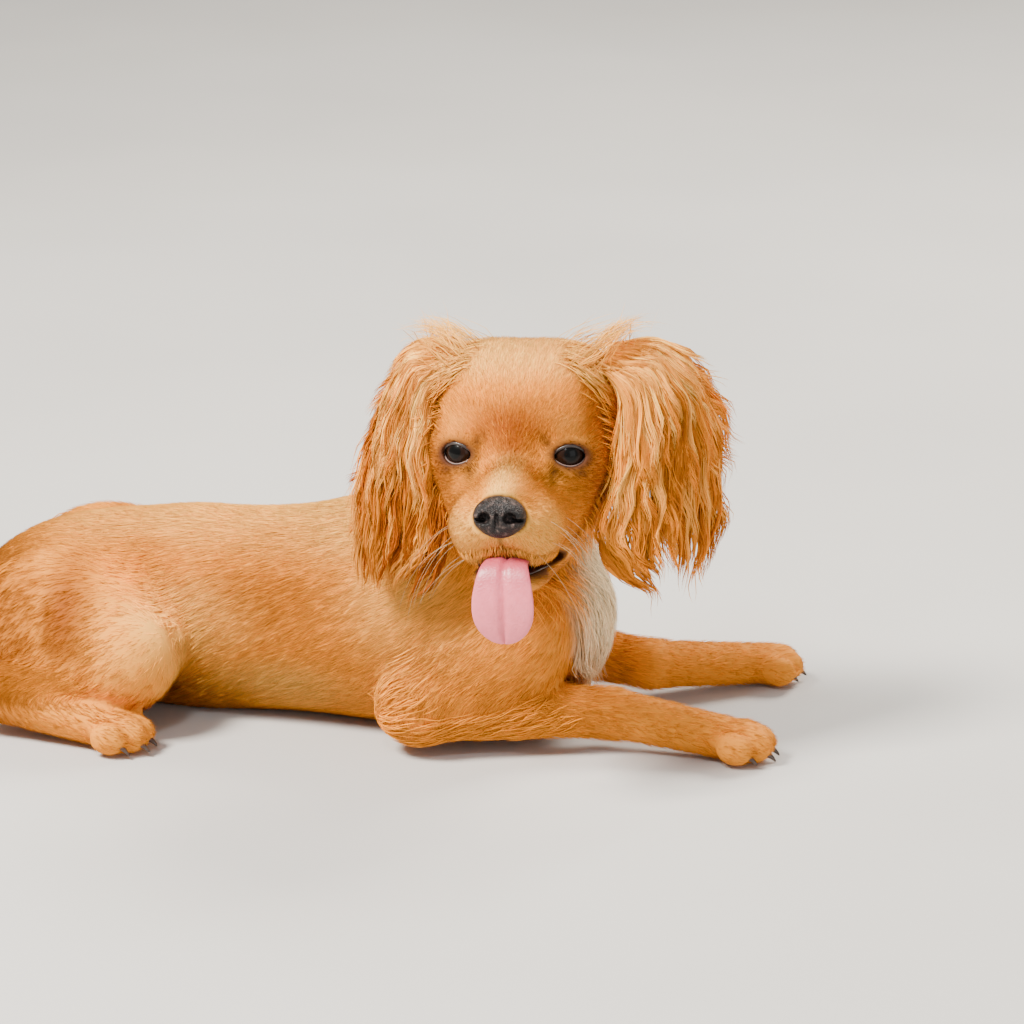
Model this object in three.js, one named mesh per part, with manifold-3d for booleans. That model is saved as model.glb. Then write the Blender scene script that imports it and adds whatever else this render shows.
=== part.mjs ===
// A young cavalier king charles spaniel, lying on its belly with the head turned to its right.
// Life size, in millimetres. +X runs along the trunk towards the chest, +Y is the dog's left, +Z is up.
// The origin is on the floor under the middle of the trunk, on the flat that the belly rests on.
import * as THREE from "three";
import Module from "manifold-3d";
import { mergeVertices } from "three/addons/utils/BufferGeometryUtils.js";

const wasm = await Module();
wasm.setup();

// Driving dimensions.
const CHEST_DEPTH = 118;
const CHEST_WIDTH = 112;
const SKULL_WIDTH = 88;
const EYE_SPACING = 51;
const EYE_RADIUS = 9.4;
const LID_WIDTH = 16;
const LID_HEIGHT = 12;
const MUZZLE_WIDTH = 59;
const NOSE_WIDTH = 26;
const TONGUE_WIDTH = 31;
const EAR_THICKNESS = 8;
const TAIL_RADIUS = 12;
const GAP = 0.35;
const HEAD_YAW = -88;
const HEAD_PITCH = 11;
const HEAD_ROLL = 1.8;

const point = (x, y, z) => new THREE.Vector3(x, y, z);
const mix = (a, b, t) => a + (b - a) * t;
const between = (a, b, t) => a.clone().lerp(b, t);
const degrees = THREE.MathUtils.degToRad;

// Seeded draws, so that every build gives the same locks.
function makeDraws(seed) {
  let state = seed;
  return () => {
    state = (state * 1664525 + 1013904223) % 4294967296;
    return state / 4294967296;
  };
}

// Fields: a function of a point that is negative inside a form and about the distance outside it.
function ball(centre, radii) {
  return (p) => {
    const x = (p.x - centre.x) / radii.x;
    const y = (p.y - centre.y) / radii.y;
    const z = (p.z - centre.z) / radii.z;
    const near = Math.hypot(x, y, z);
    const slope = Math.hypot(x / radii.x, y / radii.y, z / radii.z);
    return slope < 1e-9 ? -Math.min(radii.x, radii.y, radii.z) : (near * (near - 1)) / slope;
  };
}

// A limb from one joint to the next, with a radius at each end.
function limb(a, b, startRadius, endRadius) {
  const axis = b.clone().sub(a);
  const length2 = axis.lengthSq();
  return (p) => {
    const t = THREE.MathUtils.clamp(p.clone().sub(a).dot(axis) / length2, 0, 1);
    return p.distanceTo(a.clone().addScaledVector(axis, t)) - mix(startRadius, endRadius, t);
  };
}

// Masses that flow into one another over a width of k.
function flesh(k, masses) {
  return (p) => {
    let d = masses[0](p);
    for (const mass of masses.slice(1)) {
      const e = mass(p);
      const h = Math.max(k - Math.abs(d - e), 0) / k;
      d = Math.min(d, e) - (h * h * k) / 4;
    }
    return d;
  };
}

// The slope of a field, which points straight out of its form.
const SLOPE_STEP = 0.5;

function slopeOf(field, p) {
  const slope = new THREE.Vector3();
  for (const axis of ["x", "y", "z"]) {
    const ahead = p.clone();
    const behind = p.clone();
    ahead[axis] += SLOPE_STEP;
    behind[axis] -= SLOPE_STEP;
    slope[axis] = field(ahead) - field(behind);
  }
  return slope.normalize();
}

// A point moved straight out or in until it is at a height over a form.
function settled(field, p, height) {
  const q = p.clone();
  for (let i = 0; i < 4; i += 1) {
    q.addScaledVector(slopeOf(field, q), height - field(q));
  }
  return q;
}

// Where a ray from inside a field first leaves it.
function rayLength(field, origin, direction) {
  const step = 2;
  let far = step;
  while (field(origin.clone().addScaledVector(direction, far)) < 0 && far < 400) {
    far += step;
  }
  let near = far - step;
  for (let i = 0; i < 14; i += 1) {
    const middle = (near + far) / 2;
    if (field(origin.clone().addScaledVector(direction, middle)) < 0) {
      near = middle;
    } else {
      far = middle;
    }
  }
  return near;
}

// A closed grid of rings between two poles, as an indexed geometry.
function ringedGeometry(rings, firstPole, lastPole) {
  const sides = rings[0].length;
  const corners = [firstPole, ...rings.flat(), lastPole];
  const last = corners.length - 1;
  const faces = [];
  const at = (ring, side) => 1 + ring * sides + (side % sides);
  for (let j = 0; j < sides; j += 1) {
    faces.push(0, at(0, j + 1), at(0, j));
    faces.push(last, at(rings.length - 1, j), at(rings.length - 1, j + 1));
  }
  for (let i = 0; i + 1 < rings.length; i += 1) {
    for (let j = 0; j < sides; j += 1) {
      faces.push(at(i, j), at(i, j + 1), at(i + 1, j));
      faces.push(at(i, j + 1), at(i + 1, j + 1), at(i + 1, j));
    }
  }
  const geometry = new THREE.BufferGeometry();
  geometry.setAttribute("position", new THREE.Float32BufferAttribute(corners.flatMap((c) => c.toArray()), 3));
  geometry.setIndex(faces);
  return geometry;
}

// A form grown out of an axis line until it meets a field's surface, as a capsule of rays.
function grown(field, start, end, { rings, sides, capRings, up = point(0, 0, 1), grow = 0 }) {
  const along = end.clone().sub(start).normalize();
  const across = up.clone().cross(along).normalize();
  const over = along.clone().cross(across);
  const shell = (p) => field(p) - grow;
  const stations = [];
  for (let i = 1; i <= capRings; i += 1) {
    stations.push([0, (i / capRings) * (Math.PI / 2)]);
  }
  for (let i = 1; i <= rings; i += 1) {
    stations.push([i / (rings + 1), Math.PI / 2]);
  }
  for (let i = 0; i < capRings; i += 1) {
    stations.push([1, Math.PI / 2 + (i / capRings) * (Math.PI / 2)]);
  }
  const surface = (t, tilt, turn) => {
    const origin = between(start, end, t);
    const direction = along.clone().multiplyScalar(-Math.cos(tilt));
    direction.addScaledVector(across, Math.sin(tilt) * Math.cos(turn));
    direction.addScaledVector(over, Math.sin(tilt) * Math.sin(turn));
    return origin.addScaledVector(direction, rayLength(shell, origin, direction));
  };
  const grid = stations.map(([t, tilt]) =>
    Array.from({ length: sides }, (_, j) => surface(t, tilt, (j / sides) * 2 * Math.PI)),
  );
  return ringedGeometry(grid, surface(0, 0, 0), surface(1, Math.PI, 0));
}

// A tapering tube of flat oval section along a path, closed at both ends.
function strand(path, widthAt, thicknessAt, outward, rings, sides) {
  const grid = [];
  for (let i = 0; i < rings; i += 1) {
    const s = i / rings;
    const here = path(s);
    const along = path(s + 0.02).sub(path(s - 0.02)).normalize();
    const across = outward.clone().cross(along).normalize();
    const over = along.clone().cross(across);
    grid.push(
      Array.from({ length: sides }, (_, j) => {
        const turn = (j / sides) * 2 * Math.PI;
        return here
          .clone()
          .addScaledVector(across, Math.cos(turn) * widthAt(s))
          .addScaledVector(over, Math.sin(turn) * thicknessAt(s));
      }),
    );
  }
  return ringedGeometry(grid, path(0), path(1));
}

// A closed ring of round section, such as a lid or a lip.
function hoop(path, radius, steps, sides, centre) {
  const corners = [];
  const faces = [];
  for (let i = 0; i < steps; i += 1) {
    const here = path(i / steps);
    const along = path((i + 0.5) / steps).sub(path((i - 0.5) / steps)).normalize();
    const across = here.clone().sub(centre).cross(along).normalize();
    const over = along.clone().cross(across);
    for (let j = 0; j < sides; j += 1) {
      const turn = (j / sides) * 2 * Math.PI;
      const corner = here.clone().addScaledVector(across, Math.cos(turn) * radius);
      corners.push(...corner.addScaledVector(over, Math.sin(turn) * radius).toArray());
      const a = i * sides + j;
      const b = i * sides + ((j + 1) % sides);
      const c = ((i + 1) % steps) * sides + j;
      const d = ((i + 1) % steps) * sides + ((j + 1) % sides);
      faces.push(a, b, c, b, d, c);
    }
  }
  const geometry = new THREE.BufferGeometry();
  geometry.setAttribute("position", new THREE.Float32BufferAttribute(corners, 3));
  geometry.setIndex(faces);
  return geometry;
}

// Between three.js geometries and closed solids.
function solid(geometry) {
  const bare = geometry.clone();
  bare.deleteAttribute("normal");
  bare.deleteAttribute("uv");
  const merged = mergeVertices(bare, 1e-4);
  const build = (index) =>
    new wasm.Manifold(
      new wasm.Mesh({ numProp: 3, vertProperties: merged.attributes.position.array, triVerts: index }),
    );
  const index = new Uint32Array(merged.index.array);
  const made = build(index);
  return made.volume() > 0 ? made : build(index.reverse());
}

function geometryOf(manifold) {
  const mesh = manifold.getMesh();
  const geometry = new THREE.BufferGeometry();
  geometry.setAttribute("position", new THREE.BufferAttribute(new Float32Array(mesh.vertProperties), 3));
  geometry.setIndex(new THREE.BufferAttribute(new Uint32Array(mesh.triVerts), 1));
  geometry.computeVertexNormals();
  return geometry;
}

// The largest closed body of a solid, which drops scraps left by a cut.
function largest(manifold) {
  const bodies = manifold.decompose();
  bodies.sort((a, b) => b.volume() - a.volume());
  return bodies[0];
}

const joined = (solids) => solids.reduce((sum, next) => sum.add(next));
const cutBy = (body, cutters) => cutters.reduce((rest, cutter) => rest.subtract(cutter), body);
const aboveFloor = (body) => body.trimByPlane([0, 0, 1], 0);

// Locks of long coat: flat tapered strands with a sunk root, that lift off a form and wave to their tips.
const LOCK_RINGS = 3;
const LOCK_SIDES = 4;
const WAVE_LENGTH = 24;
const SINK = 3.5;
const FLOOR_CLEARANCE = 2;
const lockTaper = (s) => Math.sin(Math.PI * (0.25 + 0.75 * THREE.MathUtils.clamp(s, 0, 1)));
const lockRise = (s, lift) => mix(-SINK, lift, Math.sqrt(THREE.MathUtils.clamp(s, 0, 1)));
const lockSway = (s, { wave, phase, length }) =>
  wave * s * Math.sin(phase + (2 * Math.PI * s * length) / WAVE_LENGTH);

// One lock on a form, from a root near its surface, along a lie.
function coatLock(field, root, lie, shape) {
  const base = settled(field, root, 0);
  const outward = slopeOf(field, base);
  const along = lie.clone().addScaledVector(outward, -outward.dot(lie) * shape.cling).normalize();
  const across = outward.clone().cross(along).normalize();
  const path = (s) => {
    const height = lockRise(s, shape.lift);
    let here = base.clone().addScaledVector(along, s * shape.length).addScaledVector(outward, height);
    here.addScaledVector(across, lockSway(s, shape));
    if (field(here) < height) {
      here = settled(field, here, height);
    }
    return here.setZ(Math.max(here.z, FLOOR_CLEARANCE));
  };
  const width = (s) => (shape.width / 2) * lockTaper(s);
  const thickness = (s) => (shape.thickness / 2) * lockTaper(s);
  return solid(strand(path, width, thickness, outward, LOCK_RINGS, LOCK_SIDES));
}

// The point where a ray from inside a form leaves it.
function surfacePoint(field, origin, direction) {
  return origin.clone().addScaledVector(direction, rayLength(field, origin, direction));
}

// Trunk: rib cage, loin, pelvis, withers, forechest and the shoulders, as masses that flow together.
const bothSides = (make) => [make(1), make(-1)];
const trunkMasses = [
  ball(point(58, 0, CHEST_DEPTH * 0.47), point(94, CHEST_WIDTH / 2, CHEST_DEPTH * 0.5)),
  ball(point(-42, 0, 50), point(92, 49, 55)),
  ball(point(-112, 0, 48), point(56, 47, 44)),
  ball(point(78, 0, 88), point(50, 25, 27)),
  ball(point(124, 0, 58), point(44, 40, 44)),
];
const trunkField = flesh(24, trunkMasses);
const TRUNK_AXIS = [point(-110, 0, 48), point(120, 0, 54)];

// Chest frill: rows of locks that hang down the forechest between the forelegs.
const FRILL_ROWS = [34, 14, -6, -24];
const FRILL_COLUMNS = 4;
const FRILL_SPREAD = 42;

function frillLocks() {
  const draw = makeDraws(11);
  const centre = point(118, 0, 60);
  const locks = [];
  FRILL_ROWS.forEach((tilt, row) => {
    for (let i = 0; i < FRILL_COLUMNS; i += 1) {
      const place = (i + 0.5 * (row % 2)) / (FRILL_COLUMNS - 0.5);
      const turn = degrees(mix(-FRILL_SPREAD, FRILL_SPREAD, place) + 5 * (draw() - 0.5));
      const rise = degrees(tilt + 5 * (draw() - 0.5));
      const direction = point(Math.cos(turn), Math.sin(turn), Math.tan(rise)).normalize();
      const root = surfacePoint(trunkField, centre, direction);
      const lie = point(0.3 * Math.cos(turn), 0.3 * Math.sin(turn) + 0.3 * (draw() - 0.5), -1);
      const size = { length: mix(28, 38, draw()), width: mix(15, 18, draw()), thickness: 3.4 };
      const bend = { lift: mix(3, 6, draw()), cling: 0.8, wave: 2, phase: 6 * draw() };
      locks.push(coatLock(trunkField, root, lie, { ...size, ...bend }));
    }
  });
  return joined(locks);
}

// Neck: rises out of the shoulders and bends to the right, towards the head.
const NECK_ROOT = point(100, -2, 78);
const NECK_TOP = point(133, -24, 140);
const RUFF_COUNT = 5;
const neckField = limb(NECK_ROOT, NECK_TOP, 41, 35);

// Throat ruff: locks that hang down the front and the left of the neck.
function ruffLocks() {
  const draw = makeDraws(23);
  const locks = [];
  for (let i = 0; i < RUFF_COUNT; i += 1) {
    const turn = degrees(mix(-30, 95, i / (RUFF_COUNT - 1)));
    const origin = between(NECK_ROOT, NECK_TOP, mix(0.55, 0.8, draw()));
    const root = surfacePoint(neckField, origin, point(Math.cos(turn), Math.sin(turn), 0));
    const size = { length: mix(26, 34, draw()), width: 13, thickness: 3.4 };
    const bend = { lift: 4.5, cling: 0.9, wave: 1.5, phase: 6 * draw() };
    locks.push(coatLock(neckField, root, point(0.1, 0, -1), { ...size, ...bend }));
  }
  return joined(locks);
}

// The head's own frame: forward along the muzzle, left, and up, from a point between the ears at eye height.
const HEAD_CENTRE = point(135, -48, 166);
const headTurn = new THREE.Matrix4()
  .makeRotationZ(degrees(HEAD_YAW))
  .multiply(new THREE.Matrix4().makeRotationY(degrees(-HEAD_PITCH)))
  .multiply(new THREE.Matrix4().makeRotationX(degrees(HEAD_ROLL)));
const headToBody = headTurn.clone().setPosition(HEAD_CENTRE);
const bodyToHead = headToBody.clone().invert();
const inHead = (x, y, z) => point(x, y, z).applyMatrix4(headToBody);

// A field given in the head's frame, read at points of the body's frame.
const headed = (field) => (p) => field(p.clone().applyMatrix4(bodyToHead));

// Skull, brows, orbits, cheekbones, cheeks and the two halves of the muzzle.
const EYE_X = 25.5;
const EYE_Z = -3.2;
const skullMasses = [
  ball(point(-4, 0, 10), point(44, SKULL_WIDTH / 2 - 1, 41)),
  ...bothSides((side) => ball(point(-4, side * 18, 19), point(36, 25, 31))),
  ...bothSides((side) => ball(point(21, side * 19, 12), point(15, 15, 10))),
  ...bothSides((side) => ball(point(EYE_X - 2, (side * EYE_SPACING) / 2, EYE_Z), point(12.5, 12.5, 12))),
  ...bothSides((side) => ball(point(6, side * 29, -6), point(25, 18, 20))),
  ...bothSides((side) => ball(point(10, side * 21, -20), point(27, 19, 27))),
  ball(point(40, 0, -20), point(34, 15, 14)),
  ...bothSides((side) => ball(point(47, side * (MUZZLE_WIDTH / 2 - 16), -36), point(23, 16, 18))),
  ball(point(58, 0, -32), point(15, 14, 14)),
];
const headField = headed(flesh(8, skullMasses));

const jawMasses = [
  ball(point(10, 0, -48), point(28, 24, 20)),
  ball(point(40, 0, -62), point(25, 15, 9)),
];
const jawField = headed(flesh(10, jawMasses));
const mouthField = headed(ball(point(46, 0, -53.5), point(31, 15.5, 8)));

// Nose leather: a middle and two wings.
const NOSE_CENTRE = point(71, 0, -28);
const noseMasses = [
  ball(NOSE_CENTRE, point(9, 9, 9)),
  ...bothSides((side) => ball(point(71, side * (NOSE_WIDTH / 2 - 7), -29.5), point(8.5, 7, 7.5))),
];
const noseField = headed(flesh(3, noseMasses));

// Legs, folded under the body. Each is three lengths between four joints.
const legJoints = {
  right_fore: [point(130, -34, 62), point(82, -58, 26), point(178, -32, 19), point(250, -36, 10)],
  left_fore: [point(130, 34, 62), point(88, 56, 26), point(184, 44, 19), point(246, 84, 10)],
  right_hind: [point(-116, -36, 50), point(-70, -62, 40), point(-136, -76, 20), point(-62, -88, 10)],
  left_hind: [point(-118, 36, 50), point(-72, 62, 40), point(-138, 76, 20), point(-66, 90, 10)],
};

// Radii at each joint, from the trunk to the toes.
const LEG_RADII = {
  fore: { upper: [27, 20], lower: [18, 13], foot: [13, 10] },
  hind: { upper: [35, 27], lower: [20, 13], foot: [13, 9.5] },
};
const TOES = [[-12, -6], [-4.5, 2], [4.5, 2], [12, -6]];

// The four toes of a foot, from its heel and the place of its toes.
function toePoints(heel, toes) {
  const along = toes.clone().sub(heel).setZ(0).normalize();
  const across = point(-along.y, along.x, 0);
  return TOES.map(([offset, reach]) =>
    toes.clone().addScaledVector(across, offset).addScaledVector(along, reach),
  );
}

function footMasses(heel, toes, radii) {
  const toeBalls = toePoints(heel, toes).map((toe) => ball(toe, point(10, 8, 9)));
  return [limb(heel, toes, radii[0], radii[1] + 1), ...toeBalls];
}

// The upper length of a leg: its bone line and the broad muscle that lies on the trunk.
function upperMasses(root, middle, radii) {
  const girth = radii.upper[0];
  const muscle = ball(between(root, middle, 0.3), point(girth + 9, girth, girth + 5));
  return [limb(root, middle, ...radii.upper), muscle];
}

// The lengths of one leg as fields, each with the axis that it grows from.
function legFields(name) {
  const [root, middle, low, toes] = legJoints[name];
  const radii = LEG_RADII[name.endsWith("fore") ? "fore" : "hind"];
  return {
    upper: { field: flesh(14, upperMasses(root, middle, radii)), start: root, end: middle },
    lower: { field: limb(middle, low, ...radii.lower), start: middle, end: low },
    foot: { field: flesh(5, footMasses(low, toes, radii.foot)), start: low, end: between(low, toes, 0.86) },
  };
}

// Feathering behind each foreleg and trousers behind each thigh: locks along a stretch of the leg's axis.
const FEATHERING = {
  upper_arm: { count: 5, span: [0.45, 1], out: [-0.75, 0.55, -0.15], lie: [-0.85, 0.3, -0.3], length: 28 },
  forearm: { count: 6, span: [0.05, 0.85], out: [-0.1, 0.95, -0.1], lie: [-0.85, 0.45, -0.2], length: 25 },
  thigh: { count: 6, span: [-0.15, 0.45], out: [-0.8, 0.55, 0.1], lie: [-0.8, 0.1, -0.5], length: 32 },
};

function featherLocks(kind, side, { field, start, end }) {
  const { count, span, out, lie, length } = FEATHERING[kind];
  const draw = makeDraws(31 + length + side);
  const locks = [];
  for (let i = 0; i < count; i += 1) {
    const origin = between(start, end, mix(...span, i / (count - 1)));
    const tilt = kind === "thigh" ? mix(0.7, -0.6, ((i * 3) % count) / count) : 0.2 * (i % 2);
    const direction = point(out[0], out[1] * side, out[2] + tilt).normalize();
    const root = surfacePoint(field, origin, direction);
    const swept = point(lie[0], lie[1] * side, lie[2] + 0.15 * (draw() - 0.5));
    const size = { length: length * mix(0.85, 1.15, draw()), width: mix(9, 12, draw()), thickness: 3.2 };
    locks.push(coatLock(field, root, swept, { ...size, lift: 4, cling: 0.6, wave: 1.5, phase: 6 * draw() }));
  }
  return joined(locks);
}

// A small claw in front of a toe, clear of the floor.
function claw(heel, toe) {
  const along = toe.clone().sub(heel).setZ(0).normalize();
  const path = (s) => point(toe.x, toe.y, 8).addScaledVector(along, 5 + 8 * s).setZ(8 - 4.5 * s * s);
  const radius = (s) => 2 * (1 - 0.6 * s);
  return strand(path, radius, radius, point(0, 0, 1), 2, 3);
}

// Tail: leaves the rump, drops to the floor and curls round to the dog's right.
const tailLine = new THREE.CatmullRomCurve3([
  point(-150, 0, 56),
  point(-176, -2, 40),
  point(-204, -9, 20),
  point(-232, -24, 11),
  point(-250, -48, 9),
  point(-256, -74, 8),
]);
const tailAt = (s) => tailLine.getPoint(THREE.MathUtils.clamp(s, 0, 1));

const tailRadius = (s) => TAIL_RADIUS * (1 - 0.55 * s);
const TAIL_PIECES = 9;
const tailPieces = Array.from({ length: TAIL_PIECES }, (_, i) => [i / TAIL_PIECES, (i + 1) / TAIL_PIECES]);
const tailField = flesh(
  6,
  tailPieces.map(([a, b]) => limb(tailAt(a), tailAt(b), tailRadius(a), tailRadius(b))),
);

// Plume: locks in two rows along the tail, swept towards its tip.
const PLUME_COUNT = 11;

function plumeLocks() {
  const draw = makeDraws(67);
  const locks = [];
  for (let i = 0; i < PLUME_COUNT; i += 1) {
    const s = mix(0.2, 0.97, i / (PLUME_COUNT - 1));
    const along = tailLine.getTangent(s);
    const side = point(-along.y, along.x, 0).normalize().multiplyScalar(i % 2 === 0 ? 1 : -1);
    const root = surfacePoint(tailField, tailAt(s), side.clone().setZ(0.25 - 0.5 * draw()).normalize());
    const lie = along.clone().addScaledVector(side, mix(0.2, 0.45, draw())).normalize();
    const size = { length: mix(32, 42, draw()), width: mix(12, 15, draw()), thickness: 3.2 };
    const bend = { lift: 2.5, cling: 0.7, wave: 2, phase: 6 * draw() };
    locks.push(coatLock(tailField, root, lie, { ...size, ...bend }));
  }
  return joined(locks);
}

// Ears: a sheet between a front and a back edge, from root to tips, in the head's frame.
const EAR_EDGES = {
  left: {
    front: [[12, 34, 44], [16, 43, 28], [18, 45, -6], [16, 43, -36], [12, 48, -60], [4, 64, -76]],
    back: [[-22, 38, 54], [-28, 66, 49], [-32, 88, 30], [-32, 98, 0], [-30, 97, -34], [-22, 84, -70]],
  },
  right: {
    front: [[10, -31, 44], [15, -41, 28], [16, -43, -5], [14, -40, -38], [12, -43, -64], [14, -54, -78]],
    back: [[-24, -34, 53], [-30, -60, 47], [-34, -77, 26], [-30, -88, -2], [-14, -88, -36], [2, -78, -72]],
  },
};
const EAR_BULGE = 13;
const EAR_LENGTH = 125;
const EAR_SPAN = 72;
const EAR_CORE = 0.5;
const EAR_LOCK_THICKNESS = 3;

// The middle surface of one ear at u, from front edge to back edge, and v, from root to tips.
function earSheet(name) {
  const side = name === "left" ? 1 : -1;
  const [front, back] = [EAR_EDGES[name].front, EAR_EDGES[name].back].map(
    (edge) => new THREE.CatmullRomCurve3(edge.map((p) => point(...p))),
  );
  const outward = point(0.78, 0.62 * side, 0.08).normalize();
  return {
    outward: outward.clone().transformDirection(headToBody),
    at: (u, v) => {
      const low = THREE.MathUtils.clamp(v, 0, 1);
      const here = between(front.getPoint(low), back.getPoint(low), u);
      const rise = EAR_BULGE * Math.sin(Math.PI * THREE.MathUtils.clamp(u, 0, 1));
      here.addScaledVector(outward, rise * (0.35 + 0.65 * Math.sin(Math.PI * low)));
      here.z -= EAR_LENGTH * (v - low);
      return here.applyMatrix4(headToBody);
    },
  };
}

// Half the thickness of an ear's flap at u and v, for a flap that ends at a length v of reach.
const earHalf = (u, v, reach) =>
  (EAR_THICKNESS / 2) * Math.sqrt(Math.max(0, 1 - (2 * u - 1) ** 2)) * (1 - 0.35 * (v / reach) ** 2);

// A closed flap on an ear's sheet, from the root down to a length v, thickest along its middle.
function earFlap(sheet, reach, rings, columns) {
  const rows = [];
  for (let i = 0; i <= rings; i += 1) {
    const v = (reach * i) / rings;
    const row = [];
    for (let j = 0; j < 2 * columns; j += 1) {
      const u = j <= columns ? j / columns : 2 - j / columns;
      const half = earHalf(u, v, reach) * (j <= columns ? 1 : -1);
      row.push(sheet.at(u, v).addScaledVector(sheet.outward, half));
    }
    rows.push(row);
  }
  return ringedGeometry(rows, sheet.at(0.5, 0), sheet.at(0.5, reach));
}

// One lock on an ear: it runs down the sheet from a root at u and v, and stands off it more towards its tip.
function earLock(sheet, { u, v, reach, fan, width, lift, face, wave, phase }) {
  const length = Math.abs(reach) * EAR_LENGTH;
  const path = (s) => {
    const across = u + fan * s * s + lockSway(s, { wave, phase, length }) / EAR_SPAN;
    const height = lockRise(s, lift) + earHalf(u, v, EAR_CORE) * (1 - 0.5 * Math.min(s, 1));
    return sheet.at(across, v + reach * s).addScaledVector(sheet.outward, face * height);
  };
  const half = (s) => (width / 2) * lockTaper(s);
  const thickness = (s) => (EAR_LOCK_THICKNESS / 2) * lockTaper(s);
  return solid(strand(path, half, thickness, sheet.outward, LOCK_RINGS, LOCK_SIDES));
}

// The locks of one ear: tiers that overlap like shingles, tufts over its root, and a few on its inner side.
// Each tier is the place of its roots and its length, as shares of the ear's length.
const EAR_TIERS = [[0.03, 0.42], [0.24, 0.47], [0.44, 0.56]];
const EAR_COLUMNS = 7;
const EAR_TUFTS = 2;
const EAR_INNER = 2;

function earLocks(name, sheet) {
  const draw = makeDraws(name === "left" ? 71 : 83);
  const locks = [];
  const lay = (shape) => {
    const waves = { width: mix(13, 17, draw()), wave: mix(1.5, 3, draw()), phase: 6 * draw() };
    locks.push(earLock(sheet, { ...shape, ...waves }));
  };
  EAR_TIERS.forEach(([v, length], tier) => {
    for (let i = 0; i < EAR_COLUMNS; i += 1) {
      const u = mix(0.05, 0.95, (i + 0.4 * (tier % 2)) / (EAR_COLUMNS - 0.6));
      const fan = 0.12 * (2 * u - 1) + (u > 0.75 ? 0.12 * draw() : 0);
      const lift = 5.2 + 2.6 * (i % 2) + 0.4 * draw();
      lay({ u, v: v + 0.02 * draw(), reach: length * mix(0.9, 1.04, draw()), fan, lift, face: 1 });
    }
  });
  for (let i = 0; i < EAR_TUFTS; i += 1) {
    const u = mix(0.4, 0.85, i / (EAR_TUFTS - 1));
    lay({ u, v: 0.1, reach: -mix(0.13, 0.18, draw()), fan: 0.2, lift: 3, face: 1 });
  }
  for (let i = 0; i < EAR_INNER; i += 1) {
    const u = mix(0.15, 0.85, i / (EAR_INNER - 1));
    lay({ u, v: 0.42, reach: mix(0.42, 0.5, draw()), fan: 0, lift: 4, face: -1 });
  }
  return joined(locks);
}

// Tongue: a flat oval with a groove along its upper side, out over the lower lip and down.
const TONGUE_SHIFT = 2;
const tongueSide = [[12, -56], [40, -56], [60, -54.5], [70, -58.5], [72, -70], [70, -82], [66, -92]];
const tongueLine = new THREE.CatmullRomCurve3(tongueSide.map(([x, z]) => point(x, TONGUE_SHIFT, z)));
const TONGUE_THICKNESS = 5.5;

function tongueGeometry(grow) {
  const rings = 9;
  const sides = 12;
  const rows = [];
  for (let i = 0; i < rings; i += 1) {
    const s = Math.sin(((i / (rings - 1)) * 0.96 * Math.PI) / 2);
    const here = tongueLine.getPoint(s);
    const along = tongueLine.getTangent(s);
    const over = point(0, 1, 0).cross(along).negate().normalize();
    const half = (TONGUE_WIDTH / 2) * Math.sqrt(1 - s ** 8 * 0.97) + grow;
    const row = [];
    for (let j = 0; j < sides; j += 1) {
      const turn = (j / sides) * 2 * Math.PI;
      const rise = Math.sin(turn) * (TONGUE_THICKNESS / 2 + grow);
      const groove = rise > 0 ? 1 - 0.5 * Math.exp(-((Math.cos(turn) / 0.3) ** 2)) : 1;
      const corner = here.clone().addScaledVector(over, rise * groove);
      corner.y += Math.cos(turn) * half;
      row.push(corner.applyMatrix4(headToBody));
    }
    rows.push(row);
  }
  const tip = tongueLine.getPoint(1).addScaledVector(tongueLine.getTangent(1), grow);
  const root = tongueLine.getPoint(0).addScaledVector(tongueLine.getTangent(0), -grow);
  return ringedGeometry(rows, root.applyMatrix4(headToBody), tip.applyMatrix4(headToBody));
}

// How finely each kind of form is divided.
const TRUNK_DETAIL = { rings: 9, sides: 22, capRings: 4 };
const NECK_DETAIL = { rings: 2, sides: 14, capRings: 2, up: point(1, 0, 0) };
const SKULL_DETAIL = { rings: 6, sides: 24, capRings: 6 };
const JAW_DETAIL = { rings: 3, sides: 12, capRings: 3 };
const LIMB_DETAIL = { rings: 2, sides: 10, capRings: 3 };
const FOOT_DETAIL = { rings: 1, sides: 12, capRings: 3 };
const NOSE_DETAIL = { rings: 1, sides: 12, capRings: 3 };

// One solid and the slightly larger shell that its neighbours are cut by.
function bodyPiece(field, start, end, detail) {
  return {
    solid: solid(grown(field, start, end, detail)),
    shell: solid(grown(field, start, end, { ...detail, grow: GAP })),
  };
}

const trunk = bodyPiece(trunkField, ...TRUNK_AXIS, TRUNK_DETAIL);
const neck = bodyPiece(neckField, NECK_ROOT, NECK_TOP, NECK_DETAIL);
const skull = bodyPiece(headField, inHead(-8, 0, 8), inHead(42, 0, -30), SKULL_DETAIL);
const jaw = bodyPiece(jawField, inHead(6, 0, -48), inHead(44, 0, -61), JAW_DETAIL);
const nose = bodyPiece(noseField, inHead(69, 0, -28), inHead(72, 0, -29), NOSE_DETAIL);
const mouth = solid(grown(mouthField, inHead(40, 0, -54), inHead(52, 0, -54), LIMB_DETAIL));
const tongue = { solid: solid(tongueGeometry(0)), shell: solid(tongueGeometry(GAP)) };

const MATERIALS = {
  coat: new THREE.MeshStandardMaterial({ color: 0xc9803f, roughness: 0.75, metalness: 0 }),
  nose: new THREE.MeshStandardMaterial({ color: 0x2a2224, roughness: 0.4, metalness: 0 }),
  tongue: new THREE.MeshStandardMaterial({ color: 0xe08f98, roughness: 0.35, metalness: 0 }),
  eye: new THREE.MeshStandardMaterial({ color: 0x140d0b, roughness: 0.08, metalness: 0 }),
};

const dog = new THREE.Group();

function add(name, manifold, material) {
  const mesh = new THREE.Mesh(geometryOf(largest(aboveFloor(manifold))), material);
  mesh.name = name;
  dog.add(mesh);
}

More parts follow.
